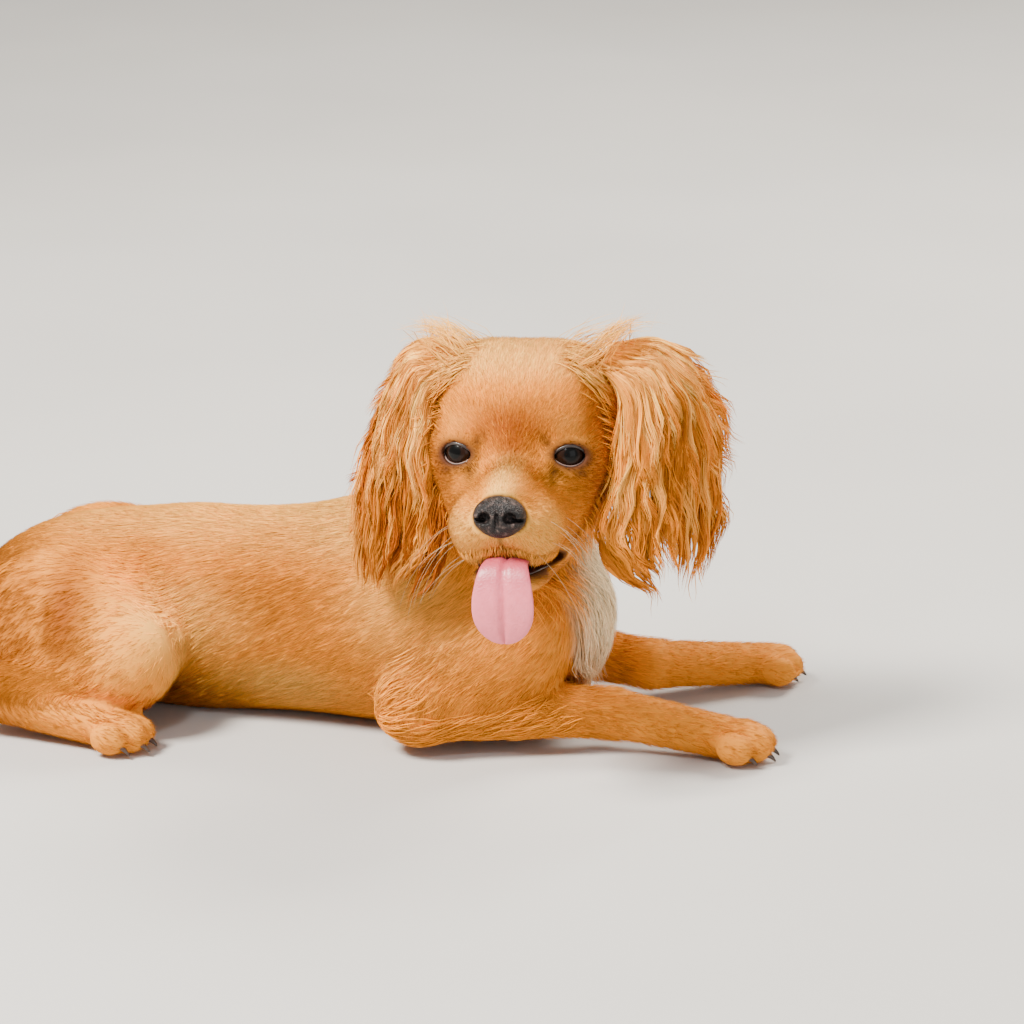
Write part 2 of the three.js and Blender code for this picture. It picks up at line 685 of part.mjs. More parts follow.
// Eyes look forward and a little outward, out of sockets that the lids ring.
const EYE_TURN = 22;
const LID_RADIUS = 1.3;
const OPENING_DEPTH = 30;

function eyeFrame(side) {
  const gaze = point(Math.cos(degrees(EYE_TURN)), side * Math.sin(degrees(EYE_TURN)), 0.06).normalize();
  const across = point(0, 0, 1).cross(gaze).normalize();
  const over = gaze.clone().cross(across);
  const frame = new THREE.Matrix4().makeBasis(across, over, gaze);
  return headToBody.clone().multiply(frame.setPosition(EYE_X, (side * EYE_SPACING) / 2, EYE_Z));
}

function lidLine(frame) {
  const reach = EYE_RADIUS + GAP + LID_RADIUS;
  return (t) => {
    const x = (LID_WIDTH / 2) * Math.cos(2 * Math.PI * t);
    const y = (LID_HEIGHT / 2) * Math.sin(2 * Math.PI * t);
    return point(x, y, Math.sqrt(reach * reach - x * x - y * y)).applyMatrix4(frame);
  };
}

for (const [name, side] of [["left_eye", 1], ["right_eye", -1]]) {
  const frame = eyeFrame(side);
  const centre = point(0, 0, 0).applyMatrix4(frame);
  const opening = new THREE.CylinderGeometry(1, 1, OPENING_DEPTH, 16)
    .scale(LID_WIDTH / 2, 1, LID_HEIGHT / 2)
    .rotateX(Math.PI / 2)
    .translate(0, 0, OPENING_DEPTH / 2)
    .applyMatrix4(frame);
  const lids = solid(hoop(lidLine(frame), LID_RADIUS, 12, 4, centre));
  const socket = solid(new THREE.SphereGeometry(EYE_RADIUS + GAP, 12, 8).applyMatrix4(frame));
  skull.solid = skull.solid.subtract(solid(opening)).add(lids).subtract(socket);
  add(name, solid(new THREE.SphereGeometry(EYE_RADIUS, 12, 8).applyMatrix4(frame)), MATERIALS.eye);
}

// Nostrils: a round opening that runs out into a slit at the side of each wing.
const NOSTRIL_REACH = 79;
const SLIT_REACH = 75;
const NOSTRIL_DETAIL = { rings: 1, sides: 6, capRings: 1 };
for (const side of [1, -1]) {
  const hole = headed(ball(point(NOSTRIL_REACH, side * 6, -30), point(6, 3, 2.6)));
  const slit = headed(ball(point(SLIT_REACH, side * 11, -30.5), point(5, 4.5, 1.3)));
  const holeAxis = [inHead(NOSTRIL_REACH - 1, side * 6, -30), inHead(NOSTRIL_REACH + 1, side * 6, -30)];
  const slitAxis = [inHead(SLIT_REACH, side * 10.6, -30.5), inHead(SLIT_REACH, side * 11.4, -30.5)];
  nose.solid = nose.solid
    .subtract(solid(grown(hole, ...holeAxis, NOSTRIL_DETAIL)))
    .subtract(solid(grown(slit, ...slitAxis, NOSTRIL_DETAIL)));
}
add("nose", nose.solid, MATERIALS.nose);

// Lips: a soft rim along the edge where the mouth's hollow leaves the muzzle, and where it leaves the jaw.
const LIP_RADIUS = 1.6;
const LIP_STEPS = 7;
const LIP_SWEEP = degrees(125);
const UPPER_LIP_HEIGHT = -48;
const LOWER_LIP_HEIGHT = -59;
const UPWARD = inHead(0, 0, 1).sub(HEAD_CENTRE);

// The point near p where the surfaces of two fields cross.
function crossing(first, second, p) {
  let q = p;
  for (let i = 0; i < 12; i += 1) {
    q = settled(second, settled(first, q, 0), 0);
  }
  return q;
}

function lipRim(field, height, grow = 0) {
  const marks = [];
  for (let i = -LIP_STEPS; i <= LIP_STEPS; i += 1) {
    const turn = (i / LIP_STEPS) * LIP_SWEEP;
    marks.push(crossing(field, mouthField, inHead(44 + 29 * Math.cos(turn), 15 * Math.sin(turn), height)));
  }
  const line = new THREE.CatmullRomCurve3(marks);
  const path = (s) => line.getPoint(THREE.MathUtils.clamp(s, 0, 1));
  const radius = (s) => LIP_RADIUS * (0.55 + 0.45 * Math.sin(Math.PI * Math.min(s + 0.08, 1))) + grow;
  return solid(strand(path, radius, radius, UPWARD, 14, 4));
}
const upperLip = lipRim(headField, UPPER_LIP_HEIGHT);
const upperLipShell = lipRim(headField, UPPER_LIP_HEIGHT, GAP);
const lowerLip = lipRim(jawField, LOWER_LIP_HEIGHT);
const lowerLipShell = lipRim(jawField, LOWER_LIP_HEIGHT, GAP);

add("head", cutBy(skull.solid.subtract(mouth).add(upperLip), [nose.shell, tongue.shell]), MATERIALS.coat);
const lowerJaw = jaw.solid.subtract(mouth).add(lowerLip);
add("lower_jaw", cutBy(lowerJaw, [skull.shell, upperLipShell, tongue.shell]), MATERIALS.coat);
add("tongue", tongue.solid, MATERIALS.tongue);

const LEG_NAMES = { fore: ["upper_arm", "forearm", "forepaw"], hind: ["thigh", "shank", "hind_foot"] };
const foreShells = [];
for (const name of Object.keys(legJoints)) {
  const [sideName, end] = name.split("_");
  const side = sideName === "left" ? 1 : -1;
  const names = LEG_NAMES[end];
  const [, , heel, toes] = legJoints[name];
  const fields = legFields(name);
  const upper = bodyPiece(fields.upper.field, fields.upper.start, fields.upper.end, LIMB_DETAIL);
  const lower = bodyPiece(fields.lower.field, fields.lower.start, fields.lower.end, LIMB_DETAIL);
  const foot = bodyPiece(fields.foot.field, fields.foot.start, fields.foot.end, FOOT_DETAIL);
  const claws = toePoints(heel, toes).map((toe) => solid(claw(heel, toe)));
  const fringe = featherLocks(names[0], side, fields.upper).subtract(lower.shell).subtract(foot.shell);
  add(`${sideName}_${names[0]}`, cutBy(upper.solid.add(fringe), [trunk.shell, neck.shell]), MATERIALS.coat);
  let lowerSolid = lower.solid;
  if (end === "fore") {
    foreShells.push(upper.shell, lower.shell);
    lowerSolid = lowerSolid.add(featherLocks(names[1], side, fields.lower));
  }
  add(`${sideName}_${names[1]}`, cutBy(lowerSolid, [trunk.shell, upper.shell]), MATERIALS.coat);
  const pawCutters = [trunk.shell, upper.shell, lower.shell];
  add(`${sideName}_${names[2]}`, joined([cutBy(foot.solid, pawCutters), ...claws]), MATERIALS.coat);
}
const neckCutters = [trunk.shell, skull.shell, jaw.shell, lowerLipShell];
add("neck", cutBy(neck.solid.add(cutBy(ruffLocks(), foreShells)), neckCutters), MATERIALS.coat);
add("torso", trunk.solid.add(cutBy(frillLocks(), [neck.shell, ...foreShells])), MATERIALS.coat);

for (const name of ["left", "right"]) {
  const sheet = earSheet(name);
  const ear = solid(earFlap(sheet, EAR_CORE, 5, 7)).add(earLocks(name, sheet));
  const headCutters = [skull.shell, jaw.shell, upperLipShell, lowerLipShell];
  add(`${name}_ear`, cutBy(ear, [...headCutters, neck.shell, trunk.shell, ...foreShells]), MATERIALS.coat);
}

const tailSolid = solid(strand(tailAt, tailRadius, tailRadius, point(0, 0, 1), 10, 10));
add("tail", cutBy(tailSolid.add(plumeLocks()), [trunk.shell]), MATERIALS.coat);

export default dog;
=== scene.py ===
"""Dresses the solid model of a lying young cavalier spaniel in skin, eyes, nose, tongue and coat.

The shape functions work in millimetres, as the solid model does, and new_piece writes metres.
"""

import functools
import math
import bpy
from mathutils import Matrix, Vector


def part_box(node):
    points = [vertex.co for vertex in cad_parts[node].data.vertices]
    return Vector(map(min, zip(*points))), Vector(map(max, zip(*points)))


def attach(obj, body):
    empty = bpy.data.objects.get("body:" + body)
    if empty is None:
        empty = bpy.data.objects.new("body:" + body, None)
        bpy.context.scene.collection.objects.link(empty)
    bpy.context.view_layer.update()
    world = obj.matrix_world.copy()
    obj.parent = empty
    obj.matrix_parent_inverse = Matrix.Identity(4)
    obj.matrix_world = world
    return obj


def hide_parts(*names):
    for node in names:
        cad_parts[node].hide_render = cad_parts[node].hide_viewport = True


bl_info = {
    "name": "Lying Spaniel",
    "version": (1, 0, 0),
    "blender": (4, 5, 0),
    "location": "3D View > Sidebar > Spaniel",
    "description": "Skin, eyes, nose, tongue and coat for the solid model of a lying spaniel",
    "category": "Add Mesh",
}

from collections import namedtuple

import bpy
import numpy as np
from bpy.props import FloatProperty, FloatVectorProperty, IntProperty, PointerProperty
from mathutils import Matrix, Vector

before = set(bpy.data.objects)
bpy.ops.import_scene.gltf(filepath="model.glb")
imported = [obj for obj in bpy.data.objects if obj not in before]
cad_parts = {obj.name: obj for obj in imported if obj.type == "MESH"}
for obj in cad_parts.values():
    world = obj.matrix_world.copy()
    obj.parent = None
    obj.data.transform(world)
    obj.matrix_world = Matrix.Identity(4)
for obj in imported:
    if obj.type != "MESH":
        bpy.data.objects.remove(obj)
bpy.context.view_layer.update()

MM = 0.001


def node_box(name):
    """Lowest and highest corner of a node of the solid model, in millimetres."""
    low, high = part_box(name)
    return np.array(low) / MM, np.array(high) / MM


# The head's own frame: forward along the muzzle, left, and up.
HEAD_CENTRE = np.array([135.0, -48.0, 166.0])
HEAD_YAW = -88
HEAD_PITCH = 11
HEAD_ROLL = 1.8
HEAD_TURN = np.array(
    Matrix.Rotation(math.radians(HEAD_YAW), 3, "Z")
    @ Matrix.Rotation(math.radians(-HEAD_PITCH), 3, "Y")
    @ Matrix.Rotation(math.radians(HEAD_ROLL), 3, "X")
)

# Sizes of the head, as the solid model has them.
SKULL_HALF = 43
EYE_SPACING = 51
EYE_X = 25.5
EYE_Z = -3.2
EYE_TURN = 22
EYE_RADIUS = float((node_box("left_eye")[1] - node_box("left_eye")[0]).max() / 2)
LID_WIDTH = 15.5
LID_HEIGHT = 10.4
LID_DROP = 0.9
MUZZLE_WIDTH = 59
NOSE_WIDTH = 26
SIDES = (1, -1)


def unit(v):
    """Vectors of length one along the same lines."""
    v = np.asarray(v, float)
    return v / np.maximum(np.linalg.norm(v, axis=-1, keepdims=True), 1e-9)


def blend(a, b, t):
    """a at t = 0, b at t = 1 and a straight line between them."""
    return a + (b - a) * t


def smoothstep(low, high, x):
    """0 below low, 1 above high, and an easy S between them."""
    t = np.clip((x - low) / (high - low), 0, 1)
    return t * t * (3 - 2 * t)


def from_head(p):
    """Points of the head's frame, given in the body's frame."""
    return np.asarray(p, float) @ HEAD_TURN.T + HEAD_CENTRE


def to_head(p):
    """Points of the body's frame, given in the head's frame."""
    return (p - HEAD_CENTRE) @ HEAD_TURN


# Forms: a field that is negative inside and about the distance outside, and the box that holds it.
Form = namedtuple("Form", "field low high")


def ball(centre, radii):
    """Ellipsoid: with n = |p / r| and s = |p / r / r|, the distance is about n (n - 1) / s."""
    centre, radii = np.array(centre, float), np.array(radii, float)

    def field(p):
        q = (p - centre) / radii
        near = np.sqrt((q * q).sum(-1))
        q /= radii
        return near * (near - 1) / np.maximum(np.sqrt((q * q).sum(-1)), 1e-9)

    return Form(field, centre - radii, centre + radii)


def limb(start, end, start_radius, end_radius):
    """Capsule: the distance to the nearest point of a line, less a radius that runs along it."""
    start, end = np.array(start, float), np.array(end, float)
    axis = end - start

    def field(p):
        t = np.clip((p - start) @ axis / (axis @ axis), 0, 1)
        q = p - start - t[..., None] * axis
        return np.sqrt((q * q).sum(-1)) - blend(start_radius, end_radius, t)

    reach = max(start_radius, end_radius)
    return Form(field, np.minimum(start, end) - reach, np.maximum(start, end) + reach)


def smooth_least(a, b, k):
    """The lesser of a and b, lowered by h h k / 4 where h = 1 - |a - b| / k is over 0."""
    h = np.maximum(k - np.abs(a - b), 0) / k
    return np.minimum(a, b) - h * h * k / 4


def smooth_most(a, b, k):
    """The greater of a and b, raised in the same way."""
    return -smooth_least(-a, -b, k)


def flesh(k, forms):
    """Forms that flow into one another over a width of k."""

    def field(p):
        d = forms[0].field(p)
        for form in forms[1:]:
            d = smooth_least(d, form.field(p), k)
        return d

    low = np.min([form.low for form in forms], axis=0) - k / 4
    high = np.max([form.high for form in forms], axis=0) + k / 4
    return Form(field, low, high)


def headed(form):
    """A form of the head's frame, in the body's frame."""
    corners = from_head(np.where(list(np.ndindex(2, 2, 2)), form.high, form.low))
    return Form(lambda p: form.field(to_head(p)), corners.min(0), corners.max(0))


# Trunk and neck.
NECK_ROOT = np.array([100.0, -2, 78])
NECK_TOP = np.array([133.0, -24, 140])
TRUNK_START = np.array([-110.0, 0, 48])
TRUNK_END = np.array([120.0, 0, 54])
trunk_form = flesh(
    24,
    [
        ball((58, 0, 55.5), (94, 56, 59)),
        ball((-42, 0, 50), (92, 49, 55)),
        ball((-112, 0, 48), (56, 47, 44)),
        ball((78, 0, 88), (50, 25, 27)),
        ball((124, 0, 58), (44, 40, 44)),
    ],
)
neck_form = limb(NECK_ROOT, NECK_TOP, 41, 35)

# Skull, brows, orbits, cheekbones, cheeks and the two halves of the muzzle, then the jaw and the mouth.
cranium_form = flesh(
    8,
    [
        ball((-4, 0, 10), (44, SKULL_HALF, 41)),
        *[ball((-4, side * 18, 19), (36, 25, 31)) for side in SIDES],
        *[ball((21, side * 19, 12), (15, 15, 10)) for side in SIDES],
        *[ball((EYE_X - 2, side * EYE_SPACING / 2, EYE_Z), (12.5, 12.5, 12)) for side in SIDES],
        *[ball((6, side * 29, -6), (25, 18, 20)) for side in SIDES],
        *[ball((10, side * 21, -20), (27, 19, 27)) for side in SIDES],
    ],
)
muzzle_form = flesh(
    8,
    [
        ball((40, 0, -20), (34, 15, 14)),
        *[ball((47, side * (MUZZLE_WIDTH / 2 - 16), -36), (23, 16, 18)) for side in SIDES],
        ball((58, 0, -32), (15, 14, 14)),
    ],
)
skull_form = headed(flesh(14, [cranium_form, muzzle_form]))
jaw_form = headed(flesh(10, [ball((10, 0, -48), (30, 28, 20)), ball((38, 0, -63), (26, 19, 9))]))
mouth_form = headed(flesh(3, [ball((46, 0, -54.5), (31, 15.5, 7.5)), ball((36, 0, -54.5), (27, 32, 4.5))]))
NOSE_TIP = np.array([71.0, 0, -28])
NOSE_BALL = ball(NOSE_TIP, (9, 9, 9))
NOSE_WINGS = [ball((71, side * (NOSE_WIDTH / 2 - 7), -29.5), (8.5, 7, 7.5)) for side in SIDES]
nose_form = headed(flesh(3, [NOSE_BALL, *NOSE_WINGS]))

# Legs: four joints each, with a radius at each end of each length.
LEG_JOINTS = {
    "right_fore": [(130, -34, 62), (82, -58, 26), (178, -32, 19), (250, -36, 10)],
    "left_fore": [(130, 34, 62), (88, 56, 26), (184, 44, 19), (246, 84, 10)],
    "right_hind": [(-116, -36, 50), (-70, -62, 40), (-136, -76, 20), (-62, -88, 10)],
    "left_hind": [(-118, 36, 50), (-72, 62, 40), (-138, 76, 20), (-66, 90, 10)],
}
LEG_RADII = {
    "fore": {"upper": (27, 20), "lower": (18, 13), "foot": (13, 10)},
    "hind": {"upper": (35, 27), "lower": (20, 13), "foot": (13, 9.5)},
}
TOES = [(-12, -6), (-4.5, 2), (4.5, 2), (12, -6)]


def toe_points(heel, toes):
    """The four toes of a foot: across and along from the middle of its toes."""
    along = (toes - heel) * (1, 1, 0)
    along = along / np.linalg.norm(along)
    across = np.array([-along[1], along[0], 0])
    return [toes + across * offset + along * reach for offset, reach in TOES], along, across


def leg_forms(name):
    """The three lengths of a leg: form, start and end of each."""
    root, middle, low, toes = (np.array(joint, float) for joint in LEG_JOINTS[name])
    radii = LEG_RADII[name.split("_")[1]]
    girth = radii["upper"][0]
    muscle = ball(blend(root, middle, 0.3), (girth + 9, girth, girth + 5))
    toe_balls = [ball(toe, (10.5, 6.2, 9)) for toe in toe_points(low, toes)[0]]
    foot_limb = limb(low, toes, radii["foot"][0], radii["foot"][1] + 1)
    return {
        "upper": (flesh(14, [limb(root, middle, *radii["upper"]), muscle]), root, middle),
        "lower": (limb(middle, low, *radii["lower"]), middle, low),
        "foot": (flesh(2, [foot_limb, *toe_balls]), low, toes),
    }


def curve_at(points, t):
    """Centripetal Catmull-Rom curve through points, at t from 0 to 1, each span with t of the same length."""
    points = np.asarray(points, float)
    padded = np.vstack([2 * points[0] - points[1], points, 2 * points[-1] - points[-2]])
    spans = np.linalg.norm(np.diff(padded, axis=0), axis=1) ** 0.5
    place = np.clip(t, 0, 1) * (len(points) - 1)
    i = np.minimum(place.astype(int), len(points) - 2)
    w = (place - i)[..., None]
    a, b, c, d = (padded[i + k] for k in range(4))
    u, v, x = (spans[i + k][..., None] for k in range(3))
    leave = ((b - a) / u - (c - a) / (u + v) + (c - b) / v) * v
    enter = ((c - b) / v - (d - b) / (v + x) + (d - c) / x) * v
    return b + leave * w + (3 * (c - b) - 2 * leave - enter) * w**2 + (2 * (b - c) + leave + enter) * w**3


# Tail: drops to the floor behind the rump and curls to the right.
TAIL_RADIUS = 12
TAIL_LINE = [(-150, 0, 56), (-176, -2, 40), (-204, -9, 20), (-232, -24, 11), (-250, -48, 9), (-256, -74, 8)]
TAIL_LENGTHS = 9


def tail_at(s):
    """The middle line of the tail at s from root to tip."""
    return curve_at(TAIL_LINE, np.asarray(s, float))


def tail_radius(s):
    """The flesh of the tail narrows by half along it."""
    return TAIL_RADIUS * (1 - 0.55 * s)


tail_stations = np.linspace(0, 1, TAIL_LENGTHS + 1)
tail_form = flesh(
    6,
    [
        limb(tail_at(a), tail_at(b), tail_radius(a), tail_radius(b))
        for a, b in zip(tail_stations, tail_stations[1:])
    ],
)

# Ears: a sheet between a front and a back edge, from root to tips, in the head's frame.
EAR_EDGES = {
    "left": (
        [(10, 36, 39), (15, 49, 28), (17, 49, -6), (15, 41, -36), (12, 42, -59), (6, 60, -75)],
        [(-20, 38, 47), (-27, 62, 49), (-32, 81, 32), (-32, 92, 2), (-30, 92, -34), (-22, 82, -71)],
    ),
    "right": (
        [(9, -33, 39), (15, -40, 28), (16, -41, -5), (14, -37, -38), (12, -39, -62), (14, -51, -78)],
        [(-22, -34, 47), (-28, -54, 47), (-33, -68, 28), (-30, -82, 0), (-16, -84, -36), (2, -77, -73)],
    ),
}
EAR_BULGE = 13
EAR_LENGTH = 125
EAR_SPAN = 72
EAR_CORE = 0.5
EAR_THICKNESS = 8


def ear_outward(name):
    """The way an ear's outer side faces, in the head's frame."""
    return unit([0.78, 0.62 if name == "left" else -0.62, 0.08])


def ear_sheet(name, u, v):
    """Between the two edges at u, bulged outward by sin(pi u) and sin(pi v), and straight down past v = 1."""
    front, back = EAR_EDGES[name]
    low = np.clip(v, 0, 1)
    here = blend(curve_at(front, low), curve_at(back, low), u[..., None])
    rise = EAR_BULGE * np.sin(np.pi * np.clip(u, 0, 1)) * (0.35 + 0.65 * np.sin(np.pi * low))
    here = here + rise[..., None] * ear_outward(name)
    here[..., 2] -= EAR_LENGTH * (v - low)
    return from_head(here)


def ear_half(u, v, reach):
    """Half the flap's thickness: an ellipse across it, thinner towards its end at v = reach."""
    return EAR_THICKNESS / 2 * np.sqrt(np.maximum(0, 1 - (2 * u - 1) ** 2)) * (1 - 0.35 * (v / reach) ** 2)


EAR_SAMPLES = 26
EAR_BATCH = 20000


def ear_form(name):
    """The flap of an ear: the distance to points of its sheet, less half its thickness there."""
    across, down = np.linspace(0.08, 0.94, EAR_SAMPLES), np.linspace(0.04, EAR_CORE, EAR_SAMPLES)
    u, v = np.meshgrid(across, down, indexing="ij")
    marks = ear_sheet(name, u.ravel(), v.ravel())
    halves = ear_half(u.ravel(), v.ravel(), EAR_CORE) + 0.6

    def field(p):
        flat = p.reshape(-1, 3)
        out = np.empty(len(flat))
        for i in range(0, len(flat), EAR_BATCH):
            part = flat[i : i + EAR_BATCH]
            gap = (part**2).sum(-1)[:, None] - 2 * part @ marks.T + (marks**2).sum(-1)
            out[i : i + EAR_BATCH] = (np.sqrt(np.maximum(gap, 0)) - halves).min(1)
        return out.reshape(p.shape[:-1])

    reach = EAR_THICKNESS / 2 + 1
    return Form(field, marks.min(0) - reach, marks.max(0) + reach)


# Regions of the body: form, depth of the short coat over the skin, and how softly it joins what came before.
Region = namedtuple("Region", "form depth join start end")


@functools.lru_cache(None)
def regions():
    """Every region of flesh in the order in which they join."""
    found = {
        "trunk": Region(trunk_form, 1.3, 1, TRUNK_START, TRUNK_END),
        "neck": Region(neck_form, 1.6, 16, NECK_TOP, NECK_ROOT),
        "head": Region(skull_form, 0.8, 9, from_head((60, 0, -10)), from_head((-20, 0, 10))),
        "jaw": Region(jaw_form, 0.8, 2, from_head((60, 0, -62)), from_head((0, 0, -45))),
    }
    for name in LEG_JOINTS:
        for part, (form, start, end) in leg_forms(name).items():
            depth = {"upper": 1.4, "lower": 1.1, "foot": 0.7}[part]
            join = {"upper": 12, "lower": 9, "foot": 5}[part]
            found[f"{name}_{part}"] = Region(form, depth, join, start, end)
    found["tail"] = Region(tail_form, 2.0, 14, tail_at(0), tail_at(1))
    for name in EAR_EDGES:
        top, low = ear_sheet(name, np.array([0.5, 0.5]), np.array([0.0, 0.6]))
        found[f"{name}_ear"] = Region(ear_form(name), 0.8, 5, top, low)
    return found


def eye_frame(side):
    """Turn and centre of an eye: across, over and the gaze as columns, in the head's frame."""
    turn = math.radians(EYE_TURN)
    gaze = unit([math.cos(turn), side * math.sin(turn), 0.06])
    across = unit(np.cross((0, 0, 1), gaze))
    over = np.cross(gaze, across)
    return np.stack([across, over, gaze], axis=1), np.array([EYE_X, side * EYE_SPACING / 2, EYE_Z])


def in_eye(p, side):
    """Points of the body's frame in an eye's own frame."""
    turn, centre = eye_frame(side)
    return (to_head(p) - centre) @ turn


def from_eye(q, side):
    """Points of an eye's own frame in the body's frame."""
    turn, centre = eye_frame(side)
    return from_head(q @ turn.T + centre)


def lid_shape(turn):
    """The lids' edge at a turn: an oval with drawn-out corners, a little under the middle of the eye."""
    x = LID_WIDTH / 2 * np.cos(turn) * (1 + 0.06 * np.cos(turn) ** 2)
    y = LID_HEIGHT / 2 * np.sin(turn) * (1 - 0.1 * np.cos(turn) ** 2) - LID_DROP
    return x, y


def lid_oval(q, margin=0.0):
    """Place of points against the lids' edge, in an eye's own frame: 1 on the edge and less inside it."""
    return np.hypot(q[..., 0] / (LID_WIDTH / 2 + margin), (q[..., 1] + LID_DROP) / (LID_HEIGHT / 2 + margin))


def eye_opening(p, side):
    """Distance to the tunnel that the lids open on: an oval carried along the gaze."""
    q = in_eye(p, side)
    return np.maximum((lid_oval(q) - 1) * LID_HEIGHT / 2, -q[..., 2])


FLOOR_HEIGHT = 0.15
FINE_STEP = 1.36
COARSE_STEP = 3.2
GRID_MARGIN = 8


def graded_axis(low, high, fine_low, fine_high):
    """Stations from low to high, close between fine_low and fine_high and wide elsewhere."""
    before = np.arange(fine_low, low - COARSE_STEP, -COARSE_STEP)[1:][::-1]
    fine = np.arange(fine_low, fine_high, FINE_STEP)
    after = np.arange(fine[-1] + COARSE_STEP, high + COARSE_STEP, COARSE_STEP)
    return np.concatenate([before, fine, after])


def grid_block(axes, low, high):
    """The slices of a grid that hold a box, and the points in them."""
    ends = [np.searchsorted(axis, span) for axis, span in zip(axes, zip(low, high))]
    cuts = tuple(slice(max(first - 1, 0), last + 1) for first, last in ends)
    parts = np.meshgrid(*[axis[cut] for axis, cut in zip(axes, cuts)], indexing="ij")
    return cuts, np.stack(parts, axis=-1)


@functools.lru_cache(None)
def body_volume():
    """Distance to the skin on a graded grid: every region less its coat's depth, joined, then opened."""
    found = regions()
    low = np.min([r.form.low for r in found.values()], axis=0) - GRID_MARGIN
    high = np.max([r.form.high for r in found.values()], axis=0) + GRID_MARGIN
    low[2] = -GRID_MARGIN
    head_low = np.min([found[n].form.low for n in ("head", "jaw", "left_ear", "right_ear")], axis=0)
    head_high = np.max([found[n].form.high for n in ("head", "jaw", "left_ear", "right_ear")], axis=0)
    head_low[2] += 8
    axes = [graded_axis(low[i], high[i], head_low[i], head_high[i]) for i in range(3)]
    values = np.full([len(a) for a in axes], 40.0)
    for name, region in found.items():
        spread = region.join + 14
        cuts, points = grid_block(axes, region.form.low - spread, region.form.high + spread)
        values[cuts] = smooth_least(values[cuts], region.form.field(points) + region.depth, region.join)
    cuts, points = grid_block(axes, mouth_form.low - 3, mouth_form.high + 3)
    values[cuts] = smooth_most(values[cuts], -mouth_form.field(points), 1.5)
    for side in SIDES:
        centre = from_eye(np.zeros(3), side)
        cuts, points = grid_block(axes, centre - 22, centre + 22)
        q = in_eye(points, side)
        socket = np.sqrt((q * q).sum(-1)) - EYE_RADIUS - 0.4
        values[cuts] = smooth_most(values[cuts], -eye_opening(points, side), 0.8)
        values[cuts] = np.maximum(values[cuts], -socket)
    height = axes[2][None, None, :]
    values = smooth_most(values, np.broadcast_to(FLOOR_HEIGHT - height, values.shape), 1.0)
    slopes = np.gradient(values, *axes)
    return axes, values, slopes


def sample_volume(p):
    """Distance to the skin and its slope at points, by trilinear weights of the grid's corners."""
    axes, values, slopes = body_volume()
    index, weight = [], []
    for k, axis in enumerate(axes):
        i = np.clip(np.searchsorted(axis, p[..., k]) - 1, 0, len(axis) - 2)
        index.append(i)
        weight.append(np.clip((p[..., k] - axis[i]) / (axis[i + 1] - axis[i]), 0, 1))
    distance = np.zeros(p.shape[:-1])
    slope = np.zeros(p.shape)
    for corner in np.ndindex(2, 2, 2):
        w = np.ones(p.shape[:-1])
        for k in range(3):
            w = w * (weight[k] if corner[k] else 1 - weight[k])
        at = tuple(index[k] + corner[k] for k in range(3))
        distance += w * values[at]
        for k in range(3):
            slope[..., k] += w * slopes[k][at]
    return distance, slope


def settle(p, height, turns=2):
    """Moves points straight out or in until they are at a height over the skin."""
    for _ in range(turns):
        distance, slope = sample_volume(p)
        size = np.maximum((slope**2).sum(-1), 0.2)
        p = p + slope * ((height - distance) / size)[..., None]
    return p


def net_surface(axes, values):
    """Surface net: one point in each cell that the surface crosses, at the mean of its edges' crossings."""
    inside = values < 0
    shape = np.array(values.shape) - 1
    corners = list(np.ndindex(2, 2, 2))

    def shifted(grid, corner):
        return grid[tuple(slice(c, n + c) for c, n in zip(corner, shape))]

    count = sum(shifted(inside, corner).astype(np.int8) for corner in corners)
    cells = np.argwhere((count > 0) & (count < 8))
    number = np.full(shape, -1)
    number[tuple(cells.T)] = np.arange(len(cells))
    total = np.zeros((len(cells), 3))
    hits = np.zeros(len(cells))
    for a in corners:
        for k in range(3):
            if a[k]:
                continue
            b = tuple(c + (i == k) for i, c in enumerate(a))
            ia, ib = cells + a, cells + b
            va, vb = values[tuple(ia.T)], values[tuple(ib.T)]
            crossed = (va < 0) != (vb < 0)
            t = np.where(crossed, va / np.where(va == vb, 1, va - vb), 0)
            pa = np.stack([axes[i][ia[:, i]] for i in range(3)], axis=-1)
            pb = np.stack([axes[i][ib[:, i]] for i in range(3)], axis=-1)
            total += np.where(crossed[:, None], blend(pa, pb, t[:, None]), 0)
            hits += crossed
    quads = []
    for k in range(3):
        e, f = (k + 1) % 3, (k + 2) % 3
        before, after = [slice(None)] * 3, [slice(None)] * 3
        before[k], after[k] = slice(0, -1), slice(1, None)
        start, end = inside[tuple(before)], inside[tuple(after)]
        edges = np.argwhere(start != end)
        rising = start[tuple(edges.T)]
        around = []
        for de, df in ((-1, -1), (0, -1), (0, 0), (-1, 0)):
            cell = edges.copy()
            cell[:, e] += de
            cell[:, f] += df
            around.append(number[tuple(cell.T)])
        around = np.stack(around, axis=-1)
        quads.append(np.where(rising[:, None], around, around[:, ::-1]))
    return total / hits[:, None], np.concatenate(quads)


@functools.lru_cache(None)
def skin_surface():
    """The skin's points and quads, with the points drawn onto the true surface."""
    axes, values, _ = body_volume()
    points, quads = net_surface(axes, values)
    distance, slope = sample_volume(points)
    size = np.maximum((slope**2).sum(-1), 0.5)
    return points - slope * np.clip(distance / size, -0.6, 0.6)[:, None], quads


def bump(x, middle, width):
    """A soft bell: exp of minus the square of the distance from the middle in widths."""
    return np.exp(-(((x - middle) / width) ** 2))


